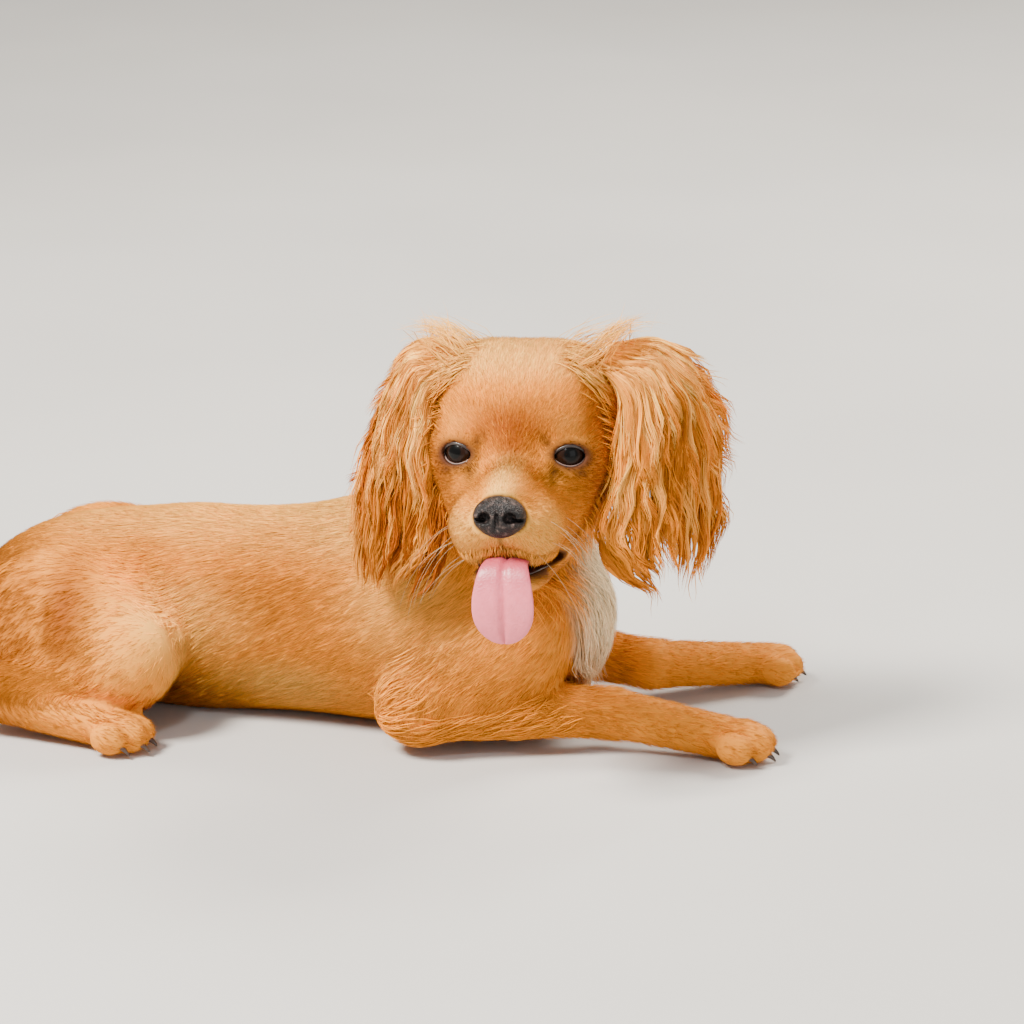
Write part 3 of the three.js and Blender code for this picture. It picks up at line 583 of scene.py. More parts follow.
def markings(p):
    """Shares of pale, deep, white and dark coat at points, as soft patches placed by the form of the dog; the
    pale of the crown and back is partly painted highlight, and the dark furrows over the eyes are painted
    shade.
    """
    q = to_head(p)
    x, y, z = q[..., 0], q[..., 1], q[..., 2]
    wide = np.abs(y)
    on_head = smoothstep(6, -2, np.minimum(skull_form.field(p), jaw_form.field(p)))
    bridge = 0.85 * bump(wide, 0, 8) * smoothstep(26, 38, x) * smoothstep(3, -10, z)
    muzzle = smoothstep(46, 60, x) * smoothstep(-16, -36, z) * 0.55
    over_eye = bump(wide, 27, 9) * bump(z, 12, 6) * smoothstep(8, 18, x) * 0.35
    # Crown: paler on top of the head, partly the coat's own colour and partly painted highlight from above.
    crown = 0.75 * smoothstep(24, 44, z)
    pale_head = np.maximum.reduce([bridge, muzzle, over_eye, crown])
    brow = bump(z, 11, 14) * bump(wide, 0, 32) * smoothstep(8, 22, x)
    between = 0.9 * bump(z, 3, 9) * bump(wide, 0, 13) * smoothstep(20, 30, x)
    cheek = bump(wide, 38, 12) * bump(z, -10, 22) * 0.75
    deep_head = np.maximum.reduce([brow, between, cheek])
    near_mouth = mouth_form.field(p)
    lip_edge = smoothstep(2.5, 0.3, near_mouth) * 0.9
    lower_lip = smoothstep(7.5, 1, near_mouth) * smoothstep(-52, -57, z) * smoothstep(28, 38, x) * 0.92
    under_nose = smoothstep(1.6, 0.2, nose_form.field(p)) * 0.9
    philtrum = bump(wide, 0, 1.3) * smoothstep(60, 67, x) * smoothstep(-34, -38, z) * 0.75
    rim = np.zeros(x.shape)
    for side in SIDES:
        e = in_eye(p, side)
        edge = np.exp(-((np.maximum(lid_oval(e) - 1, 0) / 0.65) ** 2)) * 0.95
        corner = bump(np.abs(e[..., 0]), LID_WIDTH / 2 + 1.2, 3.4) * bump(e[..., 1], -LID_DROP - 0.6, 2.6)
        inward, up = -side * e[..., 0], e[..., 1] + LID_DROP
        tear = 0.9 * bump(inward + 0.17 * up, 7.8, 4) * bump(up, -7, 7)
        spot = 0.75 * bump(inward, -5, 4.5) * bump(up, -8, 2.8)
        # Painted shade: dark furrows over the inner corners of the eyes, where the brow creases.
        furrow_shade = 0.75 * bump(inward - 0.5 * up, 8.5, 3.2) * bump(up, 7, 5)
        found = np.maximum.reduce([edge, 0.85 * corner, tear, spot, furrow_shade])
        rim = np.maximum(rim, found * (e[..., 2] > -4))
    px, py, pz = p[..., 0], p[..., 1], p[..., 2]
    flank = 0.68 * bump(px, -46, 42) * bump(pz, 54, 28) * smoothstep(10, 30, np.abs(py))
    flank = flank * (1 - 0.45 * smoothstep(60, 84, np.abs(py)))
    belly = bump(px, -5, 48) * bump(pz, 24, 18) * 0.75
    # Back: paler along the top, partly the coat's own colour and partly painted highlight from above.
    back = smoothstep(74, 112, pz) * smoothstep(100, 60, px) * 0.7
    shoulder = bump(px, 72, 36) * bump(pz, 78, 36) * 0.6
    thigh = bump(px, -100, 15) * bump(pz, 66, 28) * smoothstep(20, 40, np.abs(py)) * 0.85
    rump = smoothstep(-90, -130, px) * smoothstep(105, 70, pz) * 0.5
    barrel = bump(px, 5, 48) * bump(pz, 74, 20) * 0.35
    pale_body = np.maximum.reduce([flank, belly, back, shoulder])
    deep_body = np.maximum.reduce([thigh, rump, barrel])
    side = np.arctan2(py + 12, px - 96)
    bib = bump(side, 0.12, 0.48) * smoothstep(108, 130, px) * smoothstep(34, 52, pz)
    white = smoothstep(0.2, 0.75, bib * smoothstep(132, 112, pz)) * (1 - on_head)
    # Dark: the real dark skin and stain of lips, nose and lids, and the painted shade of the brow furrows.
    dark = np.maximum.reduce([lip_edge, lower_lip, under_nose, philtrum, rim])
    return {
        "pale": blend(pale_body, pale_head, on_head),
        "deep": blend(deep_body, deep_head, on_head),
        "white": white,
        "dark": dark,
    }


def new_piece(name, points, faces, material, values=None, uv=None):
    """A mesh from arrays, in metres: faces is a list of index arrays of one size each."""
    mesh = bpy.data.meshes.new(name)
    points = np.asarray(points, float).reshape(-1, 3)
    loops = np.concatenate([f.ravel() for f in faces]).astype(np.int32)
    sizes = np.concatenate([np.full(len(f), f.shape[1]) for f in faces])
    mesh.vertices.add(len(points))
    mesh.vertices.foreach_set("co", (points * MM).astype(np.float32).ravel())
    mesh.loops.add(len(loops))
    mesh.loops.foreach_set("vertex_index", loops)
    mesh.polygons.add(len(sizes))
    mesh.polygons.foreach_set("loop_start", np.concatenate([[0], np.cumsum(sizes)[:-1]]).astype(np.int32))
    mesh.polygons.foreach_set("use_smooth", np.ones(len(sizes), bool))
    for key, value in (values or {}).items():
        mesh.attributes.new(key, "FLOAT", "POINT").data.foreach_set("value", value.astype(np.float32).ravel())
    if uv is not None:
        layer = mesh.uv_layers.new(name="OFBake")
        layer.data.foreach_set("uv", uv[loops].astype(np.float32).ravel())
    mesh.update(calc_edges=True)
    mesh.materials.append(material)
    piece = bpy.data.objects.new(name, mesh)
    bpy.context.scene.collection.objects.link(piece)
    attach(piece, "root")
    return piece


def grid_faces(rows, columns, closed=True):
    """Quads of a grid of rows by columns, wrapped round where closed."""
    i, j = np.meshgrid(np.arange(rows - 1), np.arange(columns if closed else columns - 1), indexing="ij")
    k = (j + 1) % columns
    quads = [i * columns + j, i * columns + k, (i + 1) * columns + k, (i + 1) * columns + j]
    return np.stack(quads, axis=-1).reshape(-1, 4)


def capped_grid(grid):
    """A closed form from a grid whose rows are rings, with a fan at each end, as points and faces."""
    rows, columns = grid.shape[:2]
    points = np.concatenate([grid.reshape(-1, 3), grid[:1].mean(1), grid[-1:].mean(1)])
    ring = np.arange(columns)
    onward = np.roll(ring, -1)
    first = np.stack([np.full(columns, rows * columns), onward, ring], axis=-1)
    end = (rows - 1) * columns
    last = np.stack([np.full(columns, rows * columns + 1), end + ring, end + onward], axis=-1)
    return points, [grid_faces(rows, columns), np.concatenate([first, last])]


def swept(path, radius, sides, flat=1.0, outward=(0, 0, 1)):
    """An oval section carried along a path: radius across it, and radius times flat over it."""
    along = unit(np.gradient(path, axis=0))
    across = unit(np.cross(np.broadcast_to(outward, along.shape), along))
    over = np.cross(along, across)
    turn = np.linspace(0, 2 * np.pi, sides, endpoint=False)[None, :, None]
    radius = np.asarray(radius, float)[:, None, None]
    ring = across[:, None] * np.cos(turn) + over[:, None] * np.sin(turn) * flat
    return path[:, None] + ring * radius


def strands(paths, outward, half_width, flat):
    """Closed three-sided strands: left, ridge and right at each row of a path, and one point at its tip.

    paths is strands by rows by 3, outward the same, half_width strands by rows less one.
    """
    count, rows = paths.shape[:2]
    along = unit(np.gradient(paths, axis=1))
    across = unit(np.cross(outward, along))
    over = np.cross(along, across)
    width = half_width[..., None]
    body = paths[:, :-1]
    across, over = across[:, :-1] * width, over[:, :-1] * width * flat
    rings = np.stack([body - across - over * 0.4, body + over, body + across - over * 0.4], axis=2)
    points = np.concatenate([rings.reshape(count, -1, 3), paths[:, -1:]], axis=1)
    each = points.shape[1]
    quads = []
    for i in range(rows - 2):
        for j in range(3):
            k = (j + 1) % 3
            quads.append([3 * i + j, 3 * i + 3 + j, 3 * i + 3 + k, 3 * i + k])
    last = 3 * (rows - 2)
    triangles = [[0, 1, 2]] + [[last + j, each - 1, last + (j + 1) % 3] for j in range(3)]
    start = (np.arange(count) * each)[:, None, None]
    faces = [(start + np.array(part)[None]).reshape(-1, len(part[0])) for part in (quads, triangles) if part]
    return points, faces


PATCH = 0.003
# The height of a strand's ridge, as a share of half its width.
TUFT_RIDGE = 0.55
EAR_RIDGE = 0.6


def coat_piece(name, paths, outward, half_width, flat, root_uv, tone, shades):
    """One mesh of strands with the coat's markings, and a tone and a patch of the unwrap for each."""
    count, rows = paths.shape[:2]
    points, faces = strands(paths, outward, half_width, flat)
    each = points.shape[1]
    share = np.append(np.repeat(np.arange(rows - 1), 3), rows - 1) / (rows - 1)
    side = np.append(np.tile([-0.5, 0.0, 0.5], rows - 1), 0)
    uv = np.clip(root_uv, PATCH, 1 - PATCH)[:, None] + PATCH * np.stack([side, share - 0.5], axis=-1)[None]
    values = {key: np.repeat(value, each) for key, value in shades.items()}
    values["tone"] = np.repeat(tone, each)
    values["along"] = np.tile(share, count)
    hair = bpy.data.materials["Coat"]
    return new_piece(name, points, faces, hair, values=values, uv=uv.reshape(-1, 2))


def unwrap(p, start, end):
    """Unwrap round an axis: the angle is u, and v is the place along it, with room past both ends."""
    axis = end - start
    length = np.linalg.norm(axis)
    along = axis / length
    first = unit(np.cross(along, (0.3, 0.2, 1)))
    second = np.cross(along, first)
    q = p - start
    u = np.arctan2(q @ second, q @ first) / (2 * np.pi) + 0.5
    v = ((q @ along) / length + 0.4) / 1.8
    return np.stack([u, np.clip(v, 0, 1)], axis=-1)


REGION_REACH = 14


def region_distances(p):
    """The distance of points to every region, one column each, with a large number far from a region."""
    out = np.full((len(p), len(regions())), 60.0)
    for k, region in enumerate(regions().values()):
        low, high = region.form.low - REGION_REACH, region.form.high + REGION_REACH
        near = ((p > low) & (p < high)).all(-1)
        out[near, k] = region.form.field(p[near]) + region.depth
    return out


LIE_SOFTNESS = 5


def region_lies(p, normal):
    """The direction that the coat runs in on each region, points by regions by 3."""
    out = np.zeros((len(p), len(regions()), 3))
    for k, (name, region) in enumerate(regions().items()):
        if name == "trunk":
            drop = 0.15 + 0.45 * np.abs(normal[:, 1])
            back = np.stack([-np.ones(len(p)), 0 * drop, -drop], axis=-1)
            down = np.array([0.12, 0, -1.0])
            out[:, k] = blend(unit(back), down, smoothstep(88, 128, p[:, 0])[:, None])
        elif name == "neck":
            sag = 0.5 * smoothstep(0, 1, normal[:, :1]) * (0.3, 0, -1)
            out[:, k] = unit(NECK_ROOT - NECK_TOP) + sag
        elif name in ("head", "jaw"):
            origin = from_head((68, 0, -24) if name == "head" else (70, 0, -64))
            out[:, k] = unit(p - origin)
        elif name == "tail":
            stations = tail_at(np.linspace(0, 1, 24))
            nearest = ((p[:, None] - stations) ** 2).sum(-1).argmin(1)
            out[:, k] = unit(np.gradient(stations, axis=0))[nearest]
        elif name.endswith("hind_upper"):
            out[:, k] = unit([-0.75, 0, -0.6])
        else:
            out[:, k] = unit(region.end - region.start)
    return out


def coat_lie(p, normal):
    """The lie of the coat: the regions' directions by nearness, away from the eyes and along the skin."""
    distance = region_distances(p)
    weight = np.exp(-(distance - distance.min(1, keepdims=True)) / LIE_SOFTNESS)
    lie = unit((region_lies(p, normal) * weight[..., None]).sum(1))
    for side in SIDES:
        q = in_eye(p, side)
        push = np.exp(-np.maximum(lid_oval(q) - 1, 0) / 0.8) * (q[:, 2] > 0)
        turn, _ = eye_frame(side)
        away = unit(np.stack([q[:, 0], q[:, 1], 0 * q[:, 0]], axis=-1)) @ turn.T @ HEAD_TURN.T
        lie = lie + 1.7 * push[:, None] * away
    return unit(lie - normal * (lie * normal).sum(-1, keepdims=True))


@functools.lru_cache(None)
def skin_triangles():
    """Corners, area, middle and nearest region of each of the skin's triangles."""
    points, quads = skin_surface()
    corners = points[np.concatenate([quads[:, [0, 1, 2]], quads[:, [0, 2, 3]]])]
    cross = np.cross(corners[:, 1] - corners[:, 0], corners[:, 2] - corners[:, 0])
    area = np.linalg.norm(cross, axis=-1) / 2
    middle = corners.mean(1)
    nearest = region_distances(middle).argmin(1)
    return corners, area, middle, nearest


def bare(p):
    """Where no coat grows: round the eyes, on the nose, in the mouth and on what faces the floor."""
    skip = (p[..., 2] < 1.2) | (mouth_form.field(p) < 1.2) | (nose_form.field(p) < 0.6)
    for side in SIDES:
        q = in_eye(p, side)
        skip |= (lid_oval(q, 0.2) < 1) & (q[..., 2] > 0)
    return skip


def skin_roots(names, count, draw, weight=None):
    """Seeded points spread by area over the skin of some regions, with the skin's normal at each."""
    corners, area, middle, nearest = skin_triangles()
    wanted = np.isin(nearest, [list(regions()).index(name) for name in names]) & ~bare(middle)
    chance = np.where(wanted, area, 0)
    if weight is not None:
        chance = chance * weight(middle)
    picked = draw.choice(len(area), count, p=chance / chance.sum())
    a, b = draw.random((2, count, 1))
    over = a + b > 1
    a, b = np.where(over, 1 - a, a), np.where(over, 1 - b, b)
    c = corners[picked]
    p = settle(c[:, 0] + (c[:, 1] - c[:, 0]) * a + (c[:, 2] - c[:, 0]) * b, 0, 1)
    normal = unit(sample_volume(p)[1])
    keep = ~bare(p)
    return p[keep], normal[keep]


ROOT_DEPTH = 0.5
WAVE_LENGTH = 22
MARK_JITTER = 1.3


def tufts(name, spots, length, lift, width, rows, draw, axis, wave=0.0, loose=0.14, lie=None, free=False):
    """Tufts at roots with normals: each runs along the lie, at a height that grows as the root of its length.

    A free tuft keeps its own line and is only pushed out where it would sink into the skin.
    A short tuft takes its colour at its middle, where it shows, and a long one at its root.
    """
    roots, normal = spots
    count = len(roots)
    if lie is None:
        lie = coat_lie(roots, normal)
    across = unit(np.cross(normal, lie))
    swing = loose * draw.standard_normal((count, 1))
    along = unit(lie + across * swing)
    side = np.cross(normal, along)
    s = np.linspace(0, 1, rows)
    phase = 2 * np.pi * draw.random((count, 1))
    reach = (length * draw.uniform(0.7, 1.2, count))[:, None]
    sway = wave * s * np.sin(phase + 2 * np.pi * s * reach / WAVE_LENGTH)
    height = -ROOT_DEPTH + (lift * draw.uniform(0.6, 1.25, count) + ROOT_DEPTH)[:, None] * np.sqrt(s)
    path = roots[:, None] + along[:, None] * (reach * s)[..., None] + side[:, None] * sway[..., None]
    if free:
        path = path + normal[:, None] * height[..., None]
        path = np.where((sample_volume(path)[0] < height - 0.5)[..., None], settle(path, height), path)
    else:
        path = settle(path, height)
    path[..., 2] = np.maximum(path[..., 2], FLOOR_HEIGHT + 0.6)
    outward = unit(sample_volume(path)[1])
    half = (width * draw.uniform(0.7, 1.3, count))[:, None] / 2 * np.sin(np.pi * (0.32 + 0.68 * s[:-1]))
    uv = unwrap(roots, *axis)
    seen = path.mean(1) if rows == 2 else roots
    shades = markings(seen + draw.normal(0, MARK_JITTER, roots.shape))
    return coat_piece(name, path, outward, half, TUFT_RIDGE, uv, draw.random(count), shades)


# Materials.
def new_material(name):
    """A material, and its node tree."""
    material = bpy.data.materials.new(name)
    material.use_nodes = True
    return material, material.node_tree


def fill(tree, node, values):
    """Links or sets inputs of a node, by name or number."""
    for key, value in values.items():
        if isinstance(value, bpy.types.NodeSocket):
            tree.links.new(value, node.inputs[key])
        else:
            node.inputs[key].default_value = value


def finished(material, values):
    """The material, with links and values on its shader's own sockets."""
    fill(material.node_tree, material.node_tree.nodes["Principled BSDF"], values)
    return material


def add_node(tree, kind, values=None, **settings):
    """A node with its settings, and links or values on its inputs."""
    node = tree.nodes.new(kind)
    for key, value in settings.items():
        setattr(node, key, value)
    fill(tree, node, values or {})
    return node


def mix_colour(tree, a, b, share, mode="MIX"):
    """The output of a node that mixes two colours by a share; each may be a socket or a value."""
    node = add_node(tree, "ShaderNodeMix", data_type="RGBA", blend_type=mode)
    fill(tree, node, {6: a, 7: b, 0: share})
    return node.outputs[2]


def attribute(tree, name):
    """The value of a named attribute."""
    return add_node(tree, "ShaderNodeAttribute", attribute_name=name).outputs["Fac"]


def maths(tree, operation, *values, clamp=False):
    """The output of a Math node; each input may be a socket or a number."""
    node = add_node(tree, "ShaderNodeMath", operation=operation, use_clamp=clamp)
    fill(tree, node, dict(enumerate(values)))
    return node.outputs[0]


def object_noise(tree, scale, detail=3.0, stretch=(1, 1, 1)):
    """Noise on the object's own coordinates, at a scale in 1/m."""
    place = add_node(tree, "ShaderNodeTexCoord").outputs["Object"]
    mapped = add_node(tree, "ShaderNodeMapping", {"Vector": place, "Scale": stretch}).outputs["Vector"]
    noise = add_node(tree, "ShaderNodeTexNoise", {"Vector": mapped, "Scale": scale, "Detail": detail})
    return noise.outputs["Fac"]


def relief(tree, height, strength, distance, invert=False):
    """The normal of a bump from a height, with its distance in metres."""
    values = {"Height": height, "Strength": strength, "Distance": distance}
    return add_node(tree, "ShaderNodeBump", values, invert=invert).outputs["Normal"]


COAT_COLOURS = ("Golden", "Pale", "Deep", "White", "Dark")
COAT_MASKS = ("pale", "deep", "white", "dark")
COAT_VALUES = (*COAT_MASKS, "tone", "along")


def coat_colour_group():
    """The coat's colour from its markings and its strand's tone, with painted shade by the place along the
    strand: darker toward the root.
    """
    tree = bpy.data.node_groups.new("Coat colour", "ShaderNodeTree")
    for name in COAT_COLOURS:
        tree.interface.new_socket(name, in_out="INPUT", socket_type="NodeSocketColor")
    for name in (*COAT_VALUES, "patches"):
        tree.interface.new_socket(name, in_out="INPUT", socket_type="NodeSocketFloat")
    tree.interface.new_socket("Color", in_out="OUTPUT", socket_type="NodeSocketColor")
    source = add_node(tree, "NodeGroupInput").outputs
    colour = source["Golden"]
    uneven = maths(tree, "SUBTRACT", source["patches"], 0.5)
    for name, mask in zip(COAT_COLOURS[1:3], COAT_MASKS[:2]):
        share = maths(tree, "MULTIPLY_ADD", uneven, 0.7, source[mask], clamp=True)
        near = maths(tree, "MULTIPLY", source[mask], 2.5, clamp=True)
        colour = mix_colour(tree, colour, source[name], maths(tree, "MULTIPLY", share, near))
    for name, mask in zip(COAT_COLOURS[3:], COAT_MASKS[2:]):
        colour = mix_colour(tree, colour, source[name], source[mask])
    strand = maths(tree, "MULTIPLY_ADD", source["tone"], 0.62, 0.69)
    # Painted shade: each strand is darker toward its root, as the coat over it would shade it.
    painted_root_shade = maths(tree, "MULTIPLY_ADD", source["along"], 0.36, 0.76)
    level = maths(tree, "MULTIPLY", strand, painted_root_shade)
    grey = add_node(tree, "ShaderNodeCombineColor", {0: level, 1: level, 2: level}).outputs[0]
    add_node(tree, "NodeGroupOutput", {"Color": mix_colour(tree, colour, grey, 1.0, "MULTIPLY")})
    return tree


def linked_coat(tree, colours, **given):
    """The coat's colour in a material, from the piece's own attributes or from given values."""
    values = {name: (*getattr(colours, name.lower()), 1) for name in COAT_COLOURS}
    for name in COAT_VALUES:
        values[name] = given[name] if name in given else attribute(tree, name)
    values["patches"] = object_noise(tree, 26, 3.0, (0.6, 1, 1))
    group = add_node(tree, "ShaderNodeGroup", values, node_tree=bpy.data.node_groups["Coat colour"])
    return group.outputs["Color"]


def coat_material(colours):
    """Hair: the coat's colour with a soft sheen."""
    material, tree = new_material("Coat")
    colour = linked_coat(tree, colours)
    return finished(material, {"Base Color": colour, "Roughness": 0.6, "Specular IOR Level": 0.08})


def skin_material(colours):
    """Skin under the coat: the same markings, a little darker with the coat's painted root shade, with a fine
    nap along the body.
    """
    material, tree = new_material("Skin and undercoat")
    values = {
        # A low tone and along give the skin the painted shade of the coat's roots.
        "Base Color": linked_coat(tree, colours, tone=0.4, along=0.35),
        "Normal": relief(tree, object_noise(tree, 900, 2.0, (0.25, 1, 1)), 0.5, 0.0006),
        "Roughness": 0.75,
        "Specular IOR Level": 0.2,
    }
    return finished(material, values)


def leather_material(name, colour, light, scale, strength, roughness, coat):
    """Bare skin: pebbles by cells, pale specks where noise is high that are partly dust and partly painted
    sheen, and a clear coat.
    """
    material, tree = new_material(name)
    high = maths(tree, "MULTIPLY", object_noise(tree, 420, 4.0), 1.45, clamp=True)
    place = add_node(tree, "ShaderNodeTexCoord").outputs["Object"]
    cells = add_node(tree, "ShaderNodeTexVoronoi", {"Vector": place, "Scale": scale}).outputs["Distance"]
    values = {
        # The second colour, light, is the specks: partly dust and partly painted sheen.
        "Base Color": mix_colour(tree, (*colour, 1), (*light, 1), maths(tree, "POWER", high, 9.0)),
        "Normal": relief(tree, cells, strength, 0.0004, invert=True),
        "Roughness": roughness,
        "Specular IOR Level": 0.3,
        "Coat Weight": coat,
        "Coat Roughness": 0.2,
    }
    return finished(material, values)


# Colours of the eye by the place from the gaze: pupil, iris, its dark edge and the rim.
EYE_STOPS = (
    (0.0, (0.002, 0.002, 0.002)),
    (0.2, (0.002, 0.002, 0.002)),
    (0.26, (0.012, 0.005, 0.003)),
    (0.5, (0.02, 0.008, 0.004)),
    (0.56, (0.006, 0.003, 0.002)),
    (0.75, (0.05, 0.03, 0.025)),
)


def eye_material():
    """Black pupil, dark brown iris and a brown rim by the place from the gaze, under a wet coat."""
    material, tree = new_material("Eye")
    ramp = add_node(tree, "ShaderNodeValToRGB", {"Fac": attribute(tree, "turned")})
    elements = ramp.color_ramp.elements
    elements.remove(elements[0])
    for i, (place, colour) in enumerate(EYE_STOPS):
        element = elements.new(place) if i else elements[0]
        element.position = place
        element.color = (*colour, 1)
    values = {
        "Base Color": ramp.outputs["Color"],
        "Roughness": 0.3,
        "Specular IOR Level": 0.05,
        "Coat Weight": 0.2,
        "Coat Roughness": 0.1,
    }
    return finished(material, values)


def lid_material():
    """Dark lid edge, with a pale wet line inside the lower lid."""
    material, tree = new_material("Lid edge")
    colour = mix_colour(tree, (0.02, 0.01, 0.008, 1), (0.32, 0.19, 0.16, 1), attribute(tree, "wet"))
    return finished(material, {"Base Color": colour, "Roughness": 0.45, "Coat Weight": 0.15})


def tongue_material(colour):
    """Wet pink flesh with painted shade along the groove and toward the root, mottled, with small papillae.
    """
    material, tree = new_material("Tongue")
    # The darker pink serves the painted shade and the mottling.
    deep = tuple(c * k for c, k in zip(colour, (0.62, 0.38, 0.45)))
    mottled = maths(tree, "MULTIPLY_ADD", object_noise(tree, 240, 4.0), 0.7, -0.3)
    share = maths(tree, "ADD", attribute(tree, "shade"), mottled, clamp=True)
    values = {
        "Base Color": mix_colour(tree, (*colour, 1), (*deep, 1), share),
        "Normal": relief(tree, object_noise(tree, 950), 0.8, 0.0004),
        "Roughness": 0.4,
        "Subsurface Weight": 0.2,
        "Subsurface Radius": (0.004, 0.0015, 0.001),
        "Coat Weight": 0.22,
        "Coat Roughness": 0.25,
    }
    return finished(material, values)


def plain_material(name, colour, roughness, scale=300):
    """A hard or smooth surface with a little uneven tint."""
    material, tree = new_material(name)
    dim = tuple(c * 0.7 for c in colour)
    tinted = mix_colour(tree, (*colour, 1), (*dim, 1), object_noise(tree, scale))
    return finished(material, {"Base Color": tinted, "Roughness": roughness})


def size(name, description, default):
    """A length that the user may change, in metres."""
    return FloatProperty(name=name, description=description, default=default, min=0, unit="LENGTH")


def tint(name, description, default):
    """A colour that the user may change."""
    colour = {"min": 0, "max": 1, "subtype": "COLOR"}
    return FloatVectorProperty(name=name, description=description, default=default, **colour)


def number_of(name, description, default):
    """A number of tufts that the user may change."""
    return IntProperty(name=name, description=description, default=default, min=10)


class SPANIEL_PG_coat(bpy.types.PropertyGroup):
    """Sizes and counts of the coat."""

    body_length: size("Body coat", "Length of a tuft on the trunk", 0.013)
    face_length: size("Face coat", "Length of a tuft on the forehead", 0.0065)
    leg_length: size("Leg coat", "Length of a tuft on the lower legs", 0.0095)
    frill_length: size("Frill", "Length of the chest frill", 0.034)
    ear_width: size("Ear strand", "Width of the widest strand on the ears", 0.001)
    body_tufts: number_of("Body tufts", "Tufts on each side of the trunk", 31000)
    face_tufts: number_of("Face tufts", "Tufts on the front of the head", 37000)
    seed: IntProperty(name="Seed", description="Changes where each tuft grows", default=7)


class SPANIEL_PG_colours(bpy.types.PropertyGroup):
    """Colours of coat, nose and tongue."""

    golden: tint("Coat", "Main colour of the coat", (0.88, 0.305, 0.02))
    # Pale is partly painted highlight on the crown, the back and the tops of the ears.
    pale: tint("Pale coat", "Flank, back, crown and bridge of the nose", (0.98, 0.54, 0.115))
    # Deep also paints shade in the middle of the ears and over the ear named right.
    deep: tint("Deep coat", "Thigh, brow and ends of the ears", (0.32, 0.069, 0.001))
    white: tint("Bib", "Chest patch", (0.92, 0.74, 0.47))
    # Dark is stain and dark skin, and also paints the shade of the brow furrows.
    dark: tint("Stain_and_shade", "Round the eyes and lips", (0.05, 0.012, 0.004))
    tongue: tint("Tongue", "Top of the tongue", (0.85, 0.19, 0.24))
    nose: tint("Nose", "Nose leather", (0.005, 0.0035, 0.0035))


FLESH_NODES = [
    "torso",
    "neck",
    "head",
    "lower_jaw",
    "left_ear",
    "right_ear",
    "tail",
    *[f"{side}_{part}" for side in ("left", "right") for part in ("upper_arm", "forearm", "forepaw")],
    *[f"{side}_{part}" for side in ("left", "right") for part in ("thigh", "shank", "hind_foot")],
]


class SPANIEL_OT_skin(bpy.types.Operator):
    """One skin over the whole body, with the mouth and the eyes open"""

    bl_idname = "spaniel.skin"
    bl_label = "Skin"

    def execute(self, context):
        points, quads = skin_surface()
        coat_colour_group()
        colours = context.scene.spaniel_colours
        skin = new_piece("skin", points, [quads], skin_material(colours), values=markings(points))
        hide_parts(*FLESH_NODES)
        coat_material(colours)
        return {"FINISHED"}


EYE_RINGS = 40
EYE_SIDES = 48
LID_STEPS = 96
LID_SIDES = 10
LID_RADIUS = 0.8


def eyeball(side):
    """A ball with a cornea: radius r - 0.35 + 0.6 exp(-(a / 0.75)^6) at an angle a from the gaze."""
    angle = np.linspace(0.02, np.pi - 0.02, EYE_RINGS)[:, None]
    turn = np.linspace(0, 2 * np.pi, EYE_SIDES, endpoint=False)[None]
    radius = EYE_RADIUS - 0.35 + 0.6 * np.exp(-((angle / 0.75) ** 6))
    x = radius * np.sin(angle) * np.cos(turn)
    y = radius * np.sin(angle) * np.sin(turn)
    grid = np.stack([x, y, radius * np.cos(angle) + 0 * turn], axis=-1)
    points, faces = capped_grid(grid)
    turned = np.append(np.repeat(angle.ravel() / np.pi * 2, EYE_SIDES), [0.0, 2.0])
    return from_eye(points, side), faces, turned


def lid_rim(side):
    """A soft tube round the lids' edge, thicker over the eye, on a shell just outside the eyeball."""
    turn = np.linspace(0, 2 * np.pi, LID_STEPS, endpoint=False)
    x, y = lid_shape(turn)
    reach = EYE_RADIUS + 0.55
    path = np.stack([x, y, np.sqrt(reach**2 - x**2 - y**2)], axis=-1)
    along = unit(np.roll(path, -1, axis=0) - np.roll(path, 1, axis=0))
    outward = unit(path)
    across = np.cross(along, outward)
    section = np.linspace(0, 2 * np.pi, LID_SIDES, endpoint=False)[None, :, None]
    radius = (LID_RADIUS * (0.85 + 0.3 * np.maximum(np.sin(turn), 0)))[:, None, None]
    oval = outward[:, None] * np.cos(section) * 0.8 + across[:, None] * np.sin(section)
    ring = path[:, None] + radius * oval
    i, j = np.arange(LID_STEPS)[:, None] * LID_SIDES, np.arange(LID_SIDES)[None]
    next_i, next_j = np.roll(i, -1, axis=0), np.roll(j, -1, axis=1)
    quads = np.stack([i + j, next_i + j, next_i + next_j, i + next_j], axis=-1)
    inner = lid_oval(ring) < 0.98
    wet = inner * smoothstep(-0.15, -0.6, np.sin(turn))[:, None] * 0.6
    return from_eye(ring.reshape(-1, 3), side), quads.reshape(-1, 4), wet.ravel()


class SPANIEL_OT_eyes(bpy.types.Operator):
    """Eyes with a cornea, and the dark edges of the lids"""

    bl_idname = "spaniel.eyes"
    bl_label = "Eyes"

    def execute(self, context):
        glossy, edge = eye_material(), lid_material()
        for name, side in (("left", 1), ("right", -1)):
            points, faces, turned = eyeball(side)
            eye = new_piece(f"{name}_eyeball", points, faces, glossy, values={"turned": turned})
            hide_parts(f"{name}_eye")
            points, quads, wet = lid_rim(side)
            new_piece(f"{name}_lids", points, [quads], edge, values={"wet": wet})
        return {"FINISHED"}


NOSE_STEP = 0.55
leather_form = headed(flesh(4, [NOSE_BALL, *NOSE_WINGS, ball((69.5, 0, -34.5), (8, 7.5, 5.5))]))


